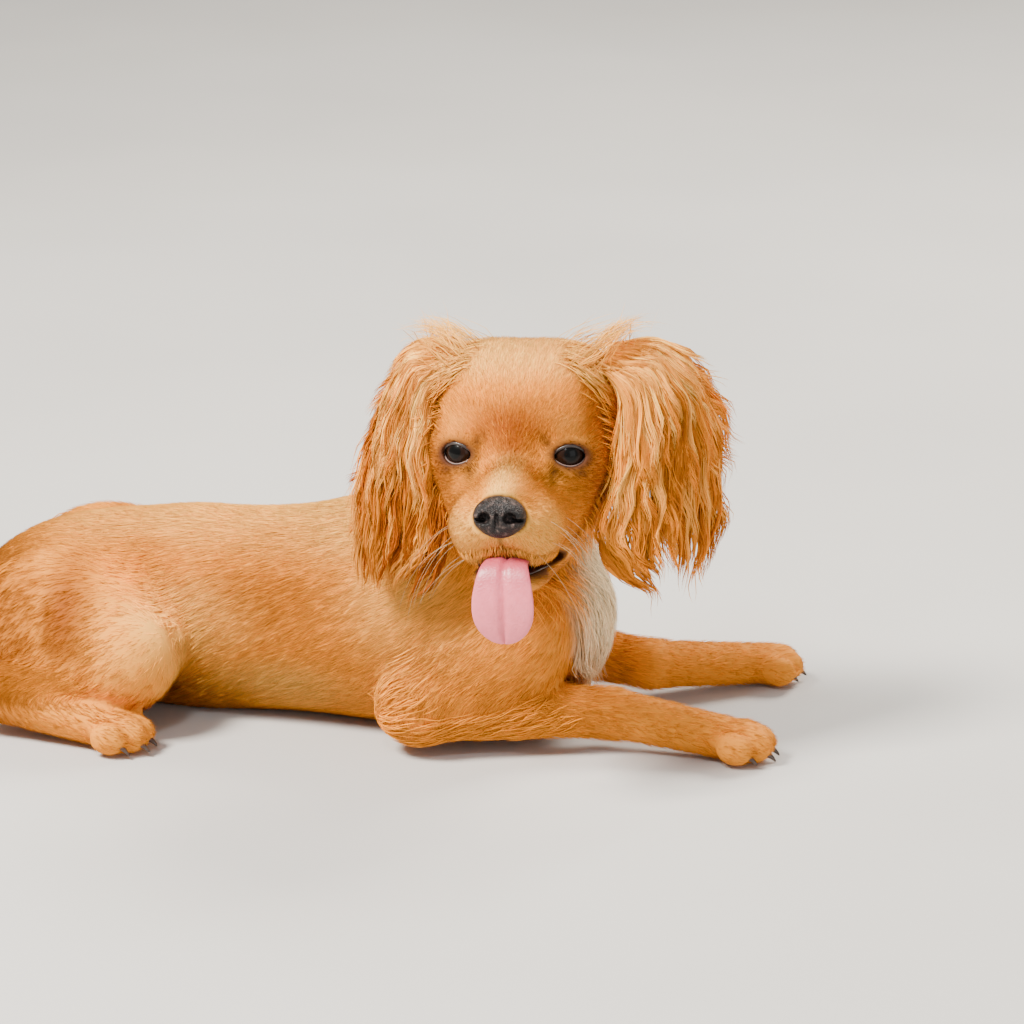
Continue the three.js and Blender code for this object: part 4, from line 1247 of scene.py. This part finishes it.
def nose_field(p):
    """The leather less two round nostrils that run out into slits, and a shallow groove down its middle."""
    q = to_head(p)
    x, y, z = q[..., 0], q[..., 1], q[..., 2]
    d = leather_form.field(p)
    for side in SIDES:
        hole = ball((79.5, side * 6.2, -29.5), (5.6, 3.1, 2.9)).field(q)
        slit = ball((76, side * 9.8, -31), (4.2, 4, 1.1)).field(q)
        d = smooth_most(d, -smooth_least(hole, slit, 1.2), 1.2)
    groove = np.hypot(y / 0.8, np.maximum(z + 30, 0) / 3) - 1
    d = smooth_most(d, -(np.maximum(groove * 0.8, 78.2 - x)), 1.2)
    return d


class SPANIEL_OT_nose(bpy.types.Operator):
    """Nose leather with open nostrils and a middle groove"""

    bl_idname = "spaniel.nose"
    bl_label = "Nose"

    def execute(self, context):
        axes = [np.arange(l - 2, h + 2, NOSE_STEP) for l, h in zip(leather_form.low, leather_form.high)]
        grid = np.stack(np.meshgrid(*axes, indexing="ij"), axis=-1)
        points, quads = net_surface(axes, nose_field(grid))
        colour = tuple(context.scene.spaniel_colours.nose)
        leather = leather_material("Nose leather", colour, (0.1, 0.068, 0.06), 1300, 1.0, 0.5, 0.0)
        nose = new_piece("nose_leather", points, [quads], leather)
        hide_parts("nose")
        return {"FINISHED"}


TONGUE_LINE = [(14, -58), (40, -55), (59, -52), (69.5, -55.5), (73, -67), (71.5, -80), (67, -92)]
TONGUE_SHIFT = 2
TONGUE_WIDTH = 30.5
TONGUE_TIP = 0.76
TONGUE_THICKNESS = 5.5
TONGUE_RINGS = 70
TONGUE_SIDES = 56


def tongue_surface():
    """Flat oval sections along the tongue's line, with rolled edges and a groove down the upper side."""
    s = np.sin(np.linspace(0, 0.985, TONGUE_RINGS) * np.pi / 2)
    line = curve_at([(x, TONGUE_SHIFT, z) for x, z in TONGUE_LINE], s)
    along = unit(np.gradient(line, axis=0))
    over = unit(-np.cross((0, 1, 0), along))
    turn = np.linspace(0, 2 * np.pi, TONGUE_SIDES, endpoint=False)[None]
    rounded = np.sqrt(1 - np.clip((s - TONGUE_TIP) / (1 - TONGUE_TIP), 0, 1) ** 2)
    half = TONGUE_WIDTH / 2 * blend(0.7, 1.0, smoothstep(0.35, 0.75, s)) * rounded
    groove = np.exp(-((np.cos(turn) / 0.11) ** 2)) * (np.sin(turn) > 0)
    rise = np.sin(turn) * TONGUE_THICKNESS / 2 * (1 - 0.55 * groove) * (half / half.max())[:, None] ** 0.4
    cup = 1.2 * (np.cos(turn) ** 2) * smoothstep(0.2, 0.6, s)[:, None]
    grid = line[:, None] + over[:, None] * (rise + cup - 0.6)[..., None]
    grid[..., 1] += np.cos(turn) * half[:, None]
    points, faces = capped_grid(grid)
    # Painted shade: darker along the groove and toward the root, where the lips shade it.
    shade = np.maximum(0.55 * groove, smoothstep(0.74, 0.42, s)[:, None])
    return from_head(points), faces, np.append(shade.ravel(), [1.0, 0.0])


LIP_STEPS = 60


def lip_line(form, height, sweep):
    """Where a form's surface crosses the mouth's: points round the mouth, moved on to both in turn."""
    turn = np.radians(np.linspace(-sweep, sweep, LIP_STEPS))
    start = np.stack([36 + 32 * np.cos(turn), 27 * np.sin(turn), np.full(LIP_STEPS, height)], axis=-1)
    p = from_head(start)
    step = 0.3
    for _ in range(14):
        for one in (form, mouth_form):
            slope = np.stack([one.field(p + step * e) - one.field(p - step * e) for e in np.eye(3)], axis=-1)
            p = p - unit(slope) * (one.field(p) + (0.8 if one is form else 0))[:, None]
    return p


class SPANIEL_OT_mouth(bpy.types.Operator):
    """Tongue, and the dark edges of the lips"""

    bl_idname = "spaniel.mouth"
    bl_label = "Mouth"

    def execute(self, context):
        points, faces, shade = tongue_surface()
        flesh_pink = tongue_material(tuple(context.scene.spaniel_colours.tongue))
        tongue = new_piece("tongue_flesh", points, faces, flesh_pink, values={"shade": shade})
        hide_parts("tongue")
        lip = leather_material("Lips", (0.02, 0.012, 0.012), (0.09, 0.05, 0.05), 900, 0.4, 0.4, 0.3)
        taper = np.sin(np.pi * np.linspace(0.06, 0.94, LIP_STEPS))
        for name, form, height in (("upper_lip", skull_form, -49), ("lower_lip", jaw_form, -59)):
            path = lip_line(form, height, 92)
            grid = swept(path, 0.3 + 0.35 * taper, 10, outward=from_head((0, 0, 1)) - HEAD_CENTRE)
            points, faces = capped_grid(grid)
            new_piece(name, points, faces, lip)
        return {"FINISHED"}


class SPANIEL_OT_claws(bpy.types.Operator):
    """A curved horn claw on each toe"""

    bl_idname = "spaniel.claws"
    bl_label = "Claws"

    def execute(self, context):
        horn = plain_material("Claw horn", (0.06, 0.035, 0.025), 0.35, 500)
        points, faces, start = [], [], 0
        s = np.linspace(0, 1, 10)
        for joints in LEG_JOINTS.values():
            toes, along, _ = toe_points(np.array(joints[2], float), np.array(joints[3], float))
            for toe in toes:
                path = toe + along * (6 + 5.5 * s)[:, None]
                path[:, 2] = 6.5 - 3.5 * s**2
                grid = swept(path, 1.6 * (1 - 0.75 * s**2), 10)
                some, some_faces = capped_grid(grid)
                points.append(some)
                faces += [part + start for part in some_faces]
                start += len(some)
        new_piece("claws", np.concatenate(points), faces, horn)
        return {"FINISHED"}


EAR_ROWS = 8

# A kind of ear lock: the face of the flap, the number of locks and strands, then ranges for where a lock
# starts across and down the flap, how far it reaches down, fans out, rises over its root, waves and
# stands off, its half width and its wave length.
EarLocks = namedtuple("EarLocks", "face locks strands across down reach fan rise wave lift width turn")
ZERO = (0, 0)
FULL_LOCKS = EarLocks(
    face=1,
    locks=95,
    strands=2700,
    across=(0, 1),
    down=(0.1, 0.78),
    reach=(0.24, 0.38),
    fan=(-0.05, 0.12),
    rise=ZERO,
    wave=(1.6, 3.2),
    lift=(3, 8),
    width=(2, 3.6),
    turn=(22, 32),
)
ROOT_LOCKS = FULL_LOCKS._replace(
    locks=34, strands=1100, down=(0, 0.1), reach=(0.26, 0.4), fan=(0.02, 0.14),
    wave=(1.2, 2.4), lift=(3, 5.5), width=(2.5, 4), turn=(26, 36),
)
EDGE_LOCKS = FULL_LOCKS._replace(
    locks=34, strands=520, across=(0.78, 1), down=(0.2, 0.82), reach=(0.16, 0.3), fan=(0, 0.22),
    wave=(2, 4.5), lift=(0, 5), width=(1.2, 2.4), turn=(18, 26),
)
TOP_LOCKS = FULL_LOCKS._replace(
    locks=16, strands=330, across=(0.1, 0.9), down=(0, 0.04), reach=(0.14, 0.26), fan=(0, 0.2),
    rise=(0.01, 0.06), wave=(1.2, 2.4), lift=(3, 6), width=(1.5, 3), turn=(24, 34),
)
INNER_LOCKS = FULL_LOCKS._replace(
    face=-1, locks=36, strands=520, down=(0.08, 0.66), reach=(0.26, 0.4), fan=(-0.1, 0.1),
    wave=(1.5, 3), lift=(1, 4), width=(2, 4), turn=(24, 34),
)
EAR_LOCKS = {"outer": [ROOT_LOCKS, FULL_LOCKS, EDGE_LOCKS, TOP_LOCKS], "inner": [INNER_LOCKS]}
EAR_LOWEST = 0.97


def ear_strands(name, kind, draw):
    """Strands of a kind of ear lock: each keeps its place in its lock, draws in and waves with it.

    Across the flap u runs on by fan s^1.7 and sways by wave s^0.8 sin(phase + 2 pi distance / wave length).
    Down it v runs on by reach s, less rise sin(pi s). Off it the height grows as s^0.6, most in the middle.
    """

    def drawn(span, size=kind.locks):
        return draw.uniform(*span, size)

    spread = (np.arange(kind.locks) + draw.random(kind.locks)) / kind.locks
    lock_u = blend(kind.across[0], kind.across[1], spread)
    lock_v = drawn(kind.down)
    lock_reach = np.minimum(drawn(kind.reach), EAR_LOWEST - lock_v + drawn((-0.08, 0.03)))
    lock_fan = drawn(kind.fan) + 0.04 * (2 * lock_u - 1)
    lock_rise, lock_wave, lock_lift = drawn(kind.rise), drawn(kind.wave), drawn(kind.lift)
    lock_width, lock_turn, lock_phase = drawn(kind.width), drawn(kind.turn), 5 * lock_u + drawn((-0.8, 0.8))
    lock_tone, lock_deep = draw.random(kind.locks), draw.random(kind.locks)
    own = draw.integers(0, kind.locks, kind.strands)
    place = np.clip(draw.standard_normal(kind.strands), -2, 2)

    def each(values, low=0.9, high=1.1):
        return (values[own] * draw.uniform(low, high, kind.strands))[:, None]

    s = np.linspace(0, 1, EAR_ROWS)[None]
    start = np.clip(lock_u[own] + place * lock_width[own] / EAR_SPAN, 0, 1)[:, None]
    gather = 1 - 0.8 * smoothstep(0.1, 1.1, s)
    u = lock_u[own][:, None] + (start - lock_u[own][:, None]) * gather + each(lock_fan) * s**1.7
    first = np.clip(lock_v[own] + draw.normal(0, 0.03, kind.strands), 0, 0.9)[:, None]
    v = first + each(lock_reach) * s - each(lock_rise) * np.sin(np.pi * s)
    turn = lock_phase[own][:, None] + 2 * np.pi * v * EAR_LENGTH / lock_turn[own][:, None]
    wave = each(lock_wave) * s**0.8
    u = u + wave * np.sin(turn) / EAR_SPAN
    core = ear_half(start, first, EAR_CORE) * smoothstep(EAR_CORE + 0.25, EAR_CORE - 0.1, v)
    crown = (1 - 0.2 * place**2)[:, None]
    off = (each(lock_lift) * crown + 0.6) * s**0.6 + 0.6 * wave * np.cos(turn)
    outward = unit(ear_outward(name) @ HEAD_TURN.T)
    path = ear_sheet(name, u, v) + kind.face * (np.maximum(off - 0.6, -0.6) + core)[..., None] * outward
    # Tone: random by lock and by strand, and lighter on the raised middle of each lock as painted highlight,
    # darker at its edges as painted shade.
    tone = np.clip(0.5 * lock_tone[own] + 0.3 * draw.random(kind.strands) + 0.2 * crown[:, 0], 0, 1)
    low = first[:, 0] + 0.3 * (lock_deep[own] - 0.5)
    uv = np.stack([0.05 + 0.9 * start[:, 0], 0.05 + 0.9 * first[:, 0]], axis=-1)
    # Deep: the ends of the flaps are deeper in their own colour; the middle of each flap, and the ear named
    # right as a whole, are deeper as painted shade.
    middle = bump(start[:, 0], 0.5, 0.3) * bump(first[:, 0], 0.42, 0.25)
    ends, some, lower = (0.4, 0.45, 0.25) if name == "right" else (0.25, 0.35, 0)
    deep = ends * smoothstep(0.4, 0.9, low) + some * (lock_deep[own] > 0.62)
    deep = deep + 0.25 * middle + lower * smoothstep(0.2, 0.5, low)
    # Pale: the top of each flap, partly the coat's own colour and partly painted highlight, and some whole
    # locks at random.
    pale = 0.5 * smoothstep(0.36, 0.02, low) + 0.35 * (lock_deep[own] < 0.3)
    shades = {"pale": pale, "deep": deep, "white": 0 * deep, "dark": 0 * deep}
    return path, np.broadcast_to(kind.face * outward, path.shape), uv, tone, shades


def ear_root_weight(side):
    """A weight that is high on the skull along the root of an ear."""
    front, back = (12, side * 33, 43), (-20, side * 35, 50)
    root = limb(front, back, 5, 5)
    return lambda p: np.exp(-((np.maximum(root.field(to_head(p)), 0) / 7) ** 2)) * (to_head(p)[..., 2] > 26)


def head_way(x, y, z):
    """A direction of the head's frame in the body's frame."""
    return unit(HEAD_TURN @ np.array([x, y, z], float))


class SPANIEL_OT_ear_coat(bpy.types.Operator):
    """Long wavy locks over both ears, and hair that flows on to them from the skull"""

    bl_idname = "spaniel.ear_coat"
    bl_label = "Ear coat"

    def execute(self, context):
        sizes = context.scene.spaniel_coat
        taper = np.sin(np.pi * (0.3 + 0.66 * np.linspace(0, 1, EAR_ROWS)[:-1]))
        for k, name in enumerate(EAR_EDGES):
            draw = np.random.default_rng(sizes.seed + 20 + k)
            side = 1 if name == "left" else -1
            for part, kinds in EAR_LOCKS.items():
                found = [ear_strands(name, kind, draw) for kind in kinds]
                path, facing, uv, tone = (np.concatenate([one[i] for one in found]) for i in range(4))
                shades = {key: np.concatenate([one[4][key] for one in found]) for key in found[0][4]}
                half = sizes.ear_width / MM * draw.uniform(0.24, 0.46, (len(path), 1)) * taper
                coat_piece(f"{name}_ear_{part}_coat", path, facing, half, EAR_RIDGE, uv, tone, shades)
            region = regions()[f"{name}_ear"]
            axis = (region.start, region.end)
            spots = skin_roots([f"{name}_ear"], 4500, draw)
            tufts(f"{name}_ear_undercoat", spots, 14, 2.2, 0.9, 2, draw, axis)
            near = ear_root_weight(side)
            flat, up = head_way(-0.1, side, -0.4), head_way(-0.2, 0.8 * side, 0.6)
            grown_on(f"{name}_ear_veil", ["head"], 1100, near, 20, 3.5, 5, 0.6, draw, flat, axis, 0.6)
            grown_on(f"{name}_ear_wisps", ["head"], 170, near, 25, 11, 6, 2.5, draw, up, axis, 0.45, True)
        return {"FINISHED"}


def face_sizes(roots, length):
    """Length, lift and width of face tufts: long at the back, fine on the muzzle, finest at the lids."""
    x = to_head(roots)[:, 0]
    local = length * blend(1.5, 0.55, smoothstep(0, 60, x)) * blend(1.5, 1, smoothstep(-40, -10, x))
    for side in SIDES:
        e = in_eye(roots, side)
        local = local * (1 - 0.6 * smoothstep(2.3, 1.0, lid_oval(e)) * (e[:, 2] > 0))
    return local, 0.35 + 0.11 * local, blend(0.66, 0.38, smoothstep(0, 55, x))


class SPANIEL_OT_face_coat(bpy.types.Operator):
    """Short tufts on the skull, muzzle and jaw, and the fluff of the cheeks"""

    bl_idname = "spaniel.face_coat"
    bl_label = "Face coat"

    def execute(self, context):
        sizes = context.scene.spaniel_coat
        draw = np.random.default_rng(sizes.seed + 40)
        length = sizes.face_length / MM
        axis = (from_head((-20, 0, 0)), from_head((60, 0, -20)))

        def front(p):
            return smoothstep(-8, 12, to_head(p)[..., 0])

        def muzzle_first(p):
            return front(p) * (0.5 + smoothstep(20, 50, to_head(p)[..., 0]))

        def cheeks(p):
            q = to_head(p)
            beside = smoothstep(26, 34, np.abs(q[..., 1])) * smoothstep(24, 10, q[..., 0])
            return beside * smoothstep(30, 16, q[..., 2])

        def lip(p):
            q = to_head(p)
            return bump(mouth_form.field(p), 2.4, 1.4) * smoothstep(30, 40, q[..., 0]) * (q[..., 2] > -55)

        pieces = (
            ("face", ["head"], sizes.face_tufts, muzzle_first),
            ("skull", ["head"], sizes.face_tufts // 3, lambda p: 1 - front(p)),
            ("jaw", ["jaw"], sizes.face_tufts // 5, None),
        )
        for name, names, count, weight in pieces:
            spots = skin_roots(names, count, draw, weight)
            tufts(f"{name}_coat", spots, *face_sizes(spots[0], length), 2, draw, axis, loose=0.18)
        roots, normal = skin_roots(["head"], 3400, draw, cheeks)
        lie = unit(0.5 * coat_lie(roots, normal) + head_way(-0.5, 0, -1))
        lie = unit(lie - 0.8 * normal * (lie * normal).sum(-1, keepdims=True))
        tufts("cheek_fluff", (roots, normal), 13, 4.5, 0.6, 4, draw, axis, 0.8, 0.15, lie)
        down = head_way(0.2, 0, -1)
        grown_on("lip_fringe", ["head"], 1500, lip, 5.5, 1.2, 4, 0.3, draw, down, axis, 0.35, True)
        return {"FINISHED"}


class SPANIEL_OT_body_coat(bpy.types.Operator):
    """Sleek tufts over the trunk and neck"""

    bl_idname = "spaniel.body_coat"
    bl_label = "Body coat"

    def execute(self, context):
        sizes = context.scene.spaniel_coat
        draw = np.random.default_rng(sizes.seed + 60)
        length = sizes.body_length / MM
        axis = (TRUNK_START, TRUNK_END)
        for name, side in (("left", 1), ("right", -1)):
            spots = skin_roots(["trunk"], sizes.body_tufts, draw, lambda p: (p[..., 1] * side > 0) * 1.0)
            tufts(f"trunk_{name}_coat", spots, length, 1.3, 0.7, 2, draw, axis, loose=0.11)
        spots = skin_roots(["neck"], sizes.body_tufts // 2, draw)
        tufts("neck_coat", spots, length * 1.15, 2.4, 0.8, 2, draw, (NECK_TOP, NECK_ROOT))
        return {"FINISHED"}


# Coat of each length of a leg: number of tufts, share of the length, lift and width.
LEG_COAT = {"upper": (4300, 1.35, 1.8, 0.75), "lower": (3200, 1.1, 1.7, 0.6), "foot": (3200, 0.75, 1.3, 0.55)}


class SPANIEL_OT_leg_coat(bpy.types.Operator):
    """Short tufts down the legs, shortest on the feet"""

    bl_idname = "spaniel.leg_coat"
    bl_label = "Leg coat"

    def execute(self, context):
        sizes = context.scene.spaniel_coat
        draw = np.random.default_rng(sizes.seed + 80)
        length = sizes.leg_length / MM
        for name, joints in LEG_JOINTS.items():
            axis = (np.array(joints[0], float), np.array(joints[3], float))
            for part, (count, share, lift, width) in LEG_COAT.items():
                spots = skin_roots([f"{name}_{part}"], count, draw)
                tufts(f"{name}_{part}_coat", spots, length * share, lift, width, 2, draw, axis)
        spots = skin_roots(["tail"], 5000, draw)
        tufts("tail_coat", spots, 16, 2.5, 0.9, 2, draw, (tail_at(0), tail_at(1)))
        return {"FINISHED"}


def grown_on(name, names, count, weight, length, lift, rows, wave, draw, way, axis, width=1.0, free=False):
    """Long locks where a weight of place says, on some regions, that all run one way and lean on the skin."""
    roots, normal = skin_roots(names, count, draw, weight)
    lie = unit(np.asarray(way, float) + 0.07 * draw.standard_normal(roots.shape))
    lie = unit(lie - 0.85 * normal * (lie * normal).sum(-1, keepdims=True))
    tufts(name, (roots, normal), length, lift, width, rows, draw, axis, wave, 0.12, lie, free)


class SPANIEL_OT_feathering(bpy.types.Operator):
    """Chest frill, throat ruff, leg feathering, trousers and tail plume"""

    bl_idname = "spaniel.feathering"
    bl_label = "Feathering"

    def execute(self, context):
        sizes = context.scene.spaniel_coat
        draw = np.random.default_rng(sizes.seed + 100)
        long = sizes.frill_length / MM
        chest = (TRUNK_START, TRUNK_END)

        def front(p):
            return smoothstep(112, 132, p[..., 0]) * smoothstep(22, 40, p[..., 2])

        def throat(p):
            return smoothstep(-8, 20, (p - NECK_ROOT) @ np.array([0.9, 0.25, 0]))

        grown_on("chest_frill", ["trunk"], 1900, front, long, 5.5, 6, 2.0, draw, (0.25, 0, -1), chest, 0.7)
        ruff = (0.35, 0.3, -1)
        grown_on("throat_ruff", ["neck"], 1700, throat, long * 0.8, 8, 5, 1.5, draw, ruff, chest, 0.6, True)
        for name, joints in LEG_JOINTS.items():
            side = 1 if name.startswith("left") else -1
            root, middle, low, _ = (np.array(joint, float) for joint in joints)
            axis = (root, low)
            if name.endswith("fore"):

                def behind(p, middle=middle):
                    return np.exp(-(((p - middle + (10, 0, 0)) / (16, 30, 22)) ** 2).sum(-1))

                def outside(p, side=side, centre=blend(middle, low, 0.5)):
                    return smoothstep(0, 8, (p[..., 1] - centre[1]) * side)

                back, out = (-1, 0.3 * side, -0.35), (-0.8, 0.4 * side, -0.3)
                upper, lower = [f"{name}_upper"], [f"{name}_lower"]
                grown_on(f"{name}_elbow", upper, 500, behind, 20, 2.2, 5, 1, draw, back, axis, 0.7)
                grown_on(f"{name}_fringe", lower, 450, outside, 18, 2, 5, 1, draw, out, axis, 0.7)
            else:

                def rump(p):
                    return smoothstep(-128, -150, p[..., 0])

                back = (-0.7, 0.1 * side, -0.6)
                grown_on(f"{name}_trousers", [f"{name}_upper"], 420, rump, 28, 4, 5, 1.5, draw, back, axis)
        tail_axis = (tail_at(0), tail_at(1))
        roots, normal = skin_roots(["tail"], 1300, draw, lambda p: smoothstep(-150, -185, p[..., 0]))
        lie = unit(coat_lie(roots, normal) + 0.45 * normal * (1, 1, 0.2))
        tufts("tail_plume", (roots, normal), 36, 5, 1.1, 6, draw, tail_axis, 2.0, 0.15, lie)
        return {"FINISHED"}


WHISKERS = 20
WHISKER_ROWS = 10
WHISKER_HALF = 0.075


class SPANIEL_OT_whiskers(bpy.types.Operator):
    """Long pale whiskers on the lips"""

    bl_idname = "spaniel.whiskers"
    bl_label = "Whiskers"

    def execute(self, context):
        draw = np.random.default_rng(context.scene.spaniel_coat.seed + 120)
        pale = plain_material("Whisker", (0.85, 0.6, 0.32), 0.4)
        side = np.where(np.arange(WHISKERS) % 2 == 0, 1, -1)
        across, height = side * draw.uniform(15, 26, WHISKERS), draw.uniform(-47, -33, WHISKERS)
        start = np.stack([draw.uniform(44, 62, WHISKERS), across, height], axis=-1)
        roots = settle(from_head(start), -0.4, 4)
        s = np.linspace(0, 1, WHISKER_ROWS)[None, :, None]
        reach = draw.uniform(24, 50, WHISKERS)[:, None, None]
        way = np.stack([draw.uniform(-0.1, 0.5, WHISKERS), side, draw.uniform(-0.9, -0.2, WHISKERS)], axis=-1)
        way = unit(way) @ HEAD_TURN.T
        sag = head_way(-0.45, 0, -1.0) * draw.uniform(0.35, 0.75, WHISKERS)[:, None]
        path = roots[:, None] + reach * (way[:, None] * (s - 0.3 * s**2) + sag[:, None] * s**2)
        facing = np.broadcast_to(head_way(1, 0, 0.4), path.shape)
        half = WHISKER_HALF * (1 - 0.6 * s[0, :-1, 0])[None] * np.ones((WHISKERS, 1))
        points, faces = strands(path, facing, half, 1.0)
        new_piece("whiskers", points, faces, pale)
        return {"FINISHED"}


CAMERA_AZIMUTH = 12
CAMERA_ELEVATION = 18
CAMERA_DISTANCE = 2.2
CAMERA_AIM = Vector((0.129, -0.0493, 0.1288))
CAMERA_FOCAL_PIXELS = 4400
IMAGE_SIZE = 1024
FLOOR_REACH = 6.0


def add_light(name, place, aim, size, power, colour=(1, 1, 1)):
    """A square area light that looks at a point."""
    data = bpy.data.lights.new(name, "AREA")
    data.size = size
    data.energy = power
    data.color = colour
    lamp = bpy.data.objects.new(name, data)
    bpy.context.scene.collection.objects.link(lamp)
    lamp.location = place
    lamp.rotation_mode = "QUATERNION"
    lamp.rotation_quaternion = (Vector(aim) - Vector(place)).to_track_quat("-Z", "Y")


class SPANIEL_OT_stage(bpy.types.Operator):
    """Pale floor, soft studio light and the photograph's camera"""

    bl_idname = "spaniel.stage"
    bl_label = "Stage"

    def execute(self, context):
        corners = FLOOR_REACH * np.array([(-1, -1, 0), (1, -1, 0), (1, 1, 0), (-1, 1, 0)], float)
        mesh = bpy.data.meshes.new("floor")
        mesh.from_pydata(corners.tolist(), [], [(0, 1, 2, 3)])
        floor = bpy.data.objects.new("floor", mesh)
        context.scene.collection.objects.link(floor)
        mesh.materials.append(plain_material("Pale floor", (0.64, 0.62, 0.59), 0.8, 2))
        world = bpy.data.worlds.new("Studio") if context.scene.world is None else context.scene.world
        context.scene.world = world
        world.use_nodes = True
        world.node_tree.nodes["Background"].inputs["Color"].default_value = (1, 0.97, 0.93, 1)
        world.node_tree.nodes["Background"].inputs["Strength"].default_value = 0.55
        aim = (0.08, -0.03, 0.1)
        add_light("key", (-0.95, -0.95, 1.8), aim, 0.6, 150, (1, 0.95, 0.87))
        add_light("catch", (0.065, -1.39, 1.65), aim, 0.25, 12, (0.85, 0.93, 1))
        add_light("rim", (0.9, 1.3, 1.5), aim, 0.8, 60, (1, 0.95, 0.86))
        add_light("fill", (1.6, -1.4, 0.7), aim, 1.2, 8, (0.95, 0.97, 1))
        data = bpy.data.cameras.new("camera")
        data.lens = data.sensor_width * CAMERA_FOCAL_PIXELS / IMAGE_SIZE
        camera = bpy.data.objects.new("camera", data)
        context.scene.collection.objects.link(camera)
        a, e = math.radians(CAMERA_AZIMUTH), math.radians(CAMERA_ELEVATION)
        back = Vector((math.sin(a) * math.cos(e), -math.cos(a) * math.cos(e), math.sin(e)))
        camera.location = CAMERA_AIM + back * CAMERA_DISTANCE
        camera.rotation_mode = "QUATERNION"
        camera.rotation_quaternion = (-back).to_track_quat("-Z", "Y")
        context.scene.camera = camera
        return {"FINISHED"}


OPERATORS = (
    SPANIEL_OT_skin,
    SPANIEL_OT_eyes,
    SPANIEL_OT_nose,
    SPANIEL_OT_mouth,
    SPANIEL_OT_claws,
    SPANIEL_OT_ear_coat,
    SPANIEL_OT_face_coat,
    SPANIEL_OT_body_coat,
    SPANIEL_OT_leg_coat,
    SPANIEL_OT_feathering,
    SPANIEL_OT_whiskers,
    SPANIEL_OT_stage,
)


class SPANIEL_PT_panel(bpy.types.Panel):
    """Lists the sizes, the colours and the pieces"""

    bl_idname = "SPANIEL_PT_panel"
    bl_label = "Spaniel"
    bl_space_type = "VIEW_3D"
    bl_region_type = "UI"
    bl_category = "Spaniel"

    def draw(self, context):
        for group in (context.scene.spaniel_coat, context.scene.spaniel_colours):
            box = self.layout.box()
            for name in group.bl_rna.properties.keys():
                if name not in ("rna_type", "name"):
                    box.prop(group, name)
        for operator in OPERATORS:
            self.layout.operator(operator.bl_idname)


CLASSES = (SPANIEL_PG_coat, SPANIEL_PG_colours, *OPERATORS, SPANIEL_PT_panel)


def register():
    """Adds the classes and the scene's settings."""
    for cls in CLASSES:
        bpy.utils.register_class(cls)
    bpy.types.Scene.spaniel_coat = PointerProperty(type=SPANIEL_PG_coat)
    bpy.types.Scene.spaniel_colours = PointerProperty(type=SPANIEL_PG_colours)


def unregister():
    """Takes them away again."""
    del bpy.types.Scene.spaniel_colours
    del bpy.types.Scene.spaniel_coat
    for cls in reversed(CLASSES):
        bpy.utils.unregister_class(cls)


def main():
    register()
    for operator in OPERATORS:
        group, name = operator.bl_idname.split(".")
        getattr(getattr(bpy.ops, group), name)()


if __name__ == "__main__":
    main()
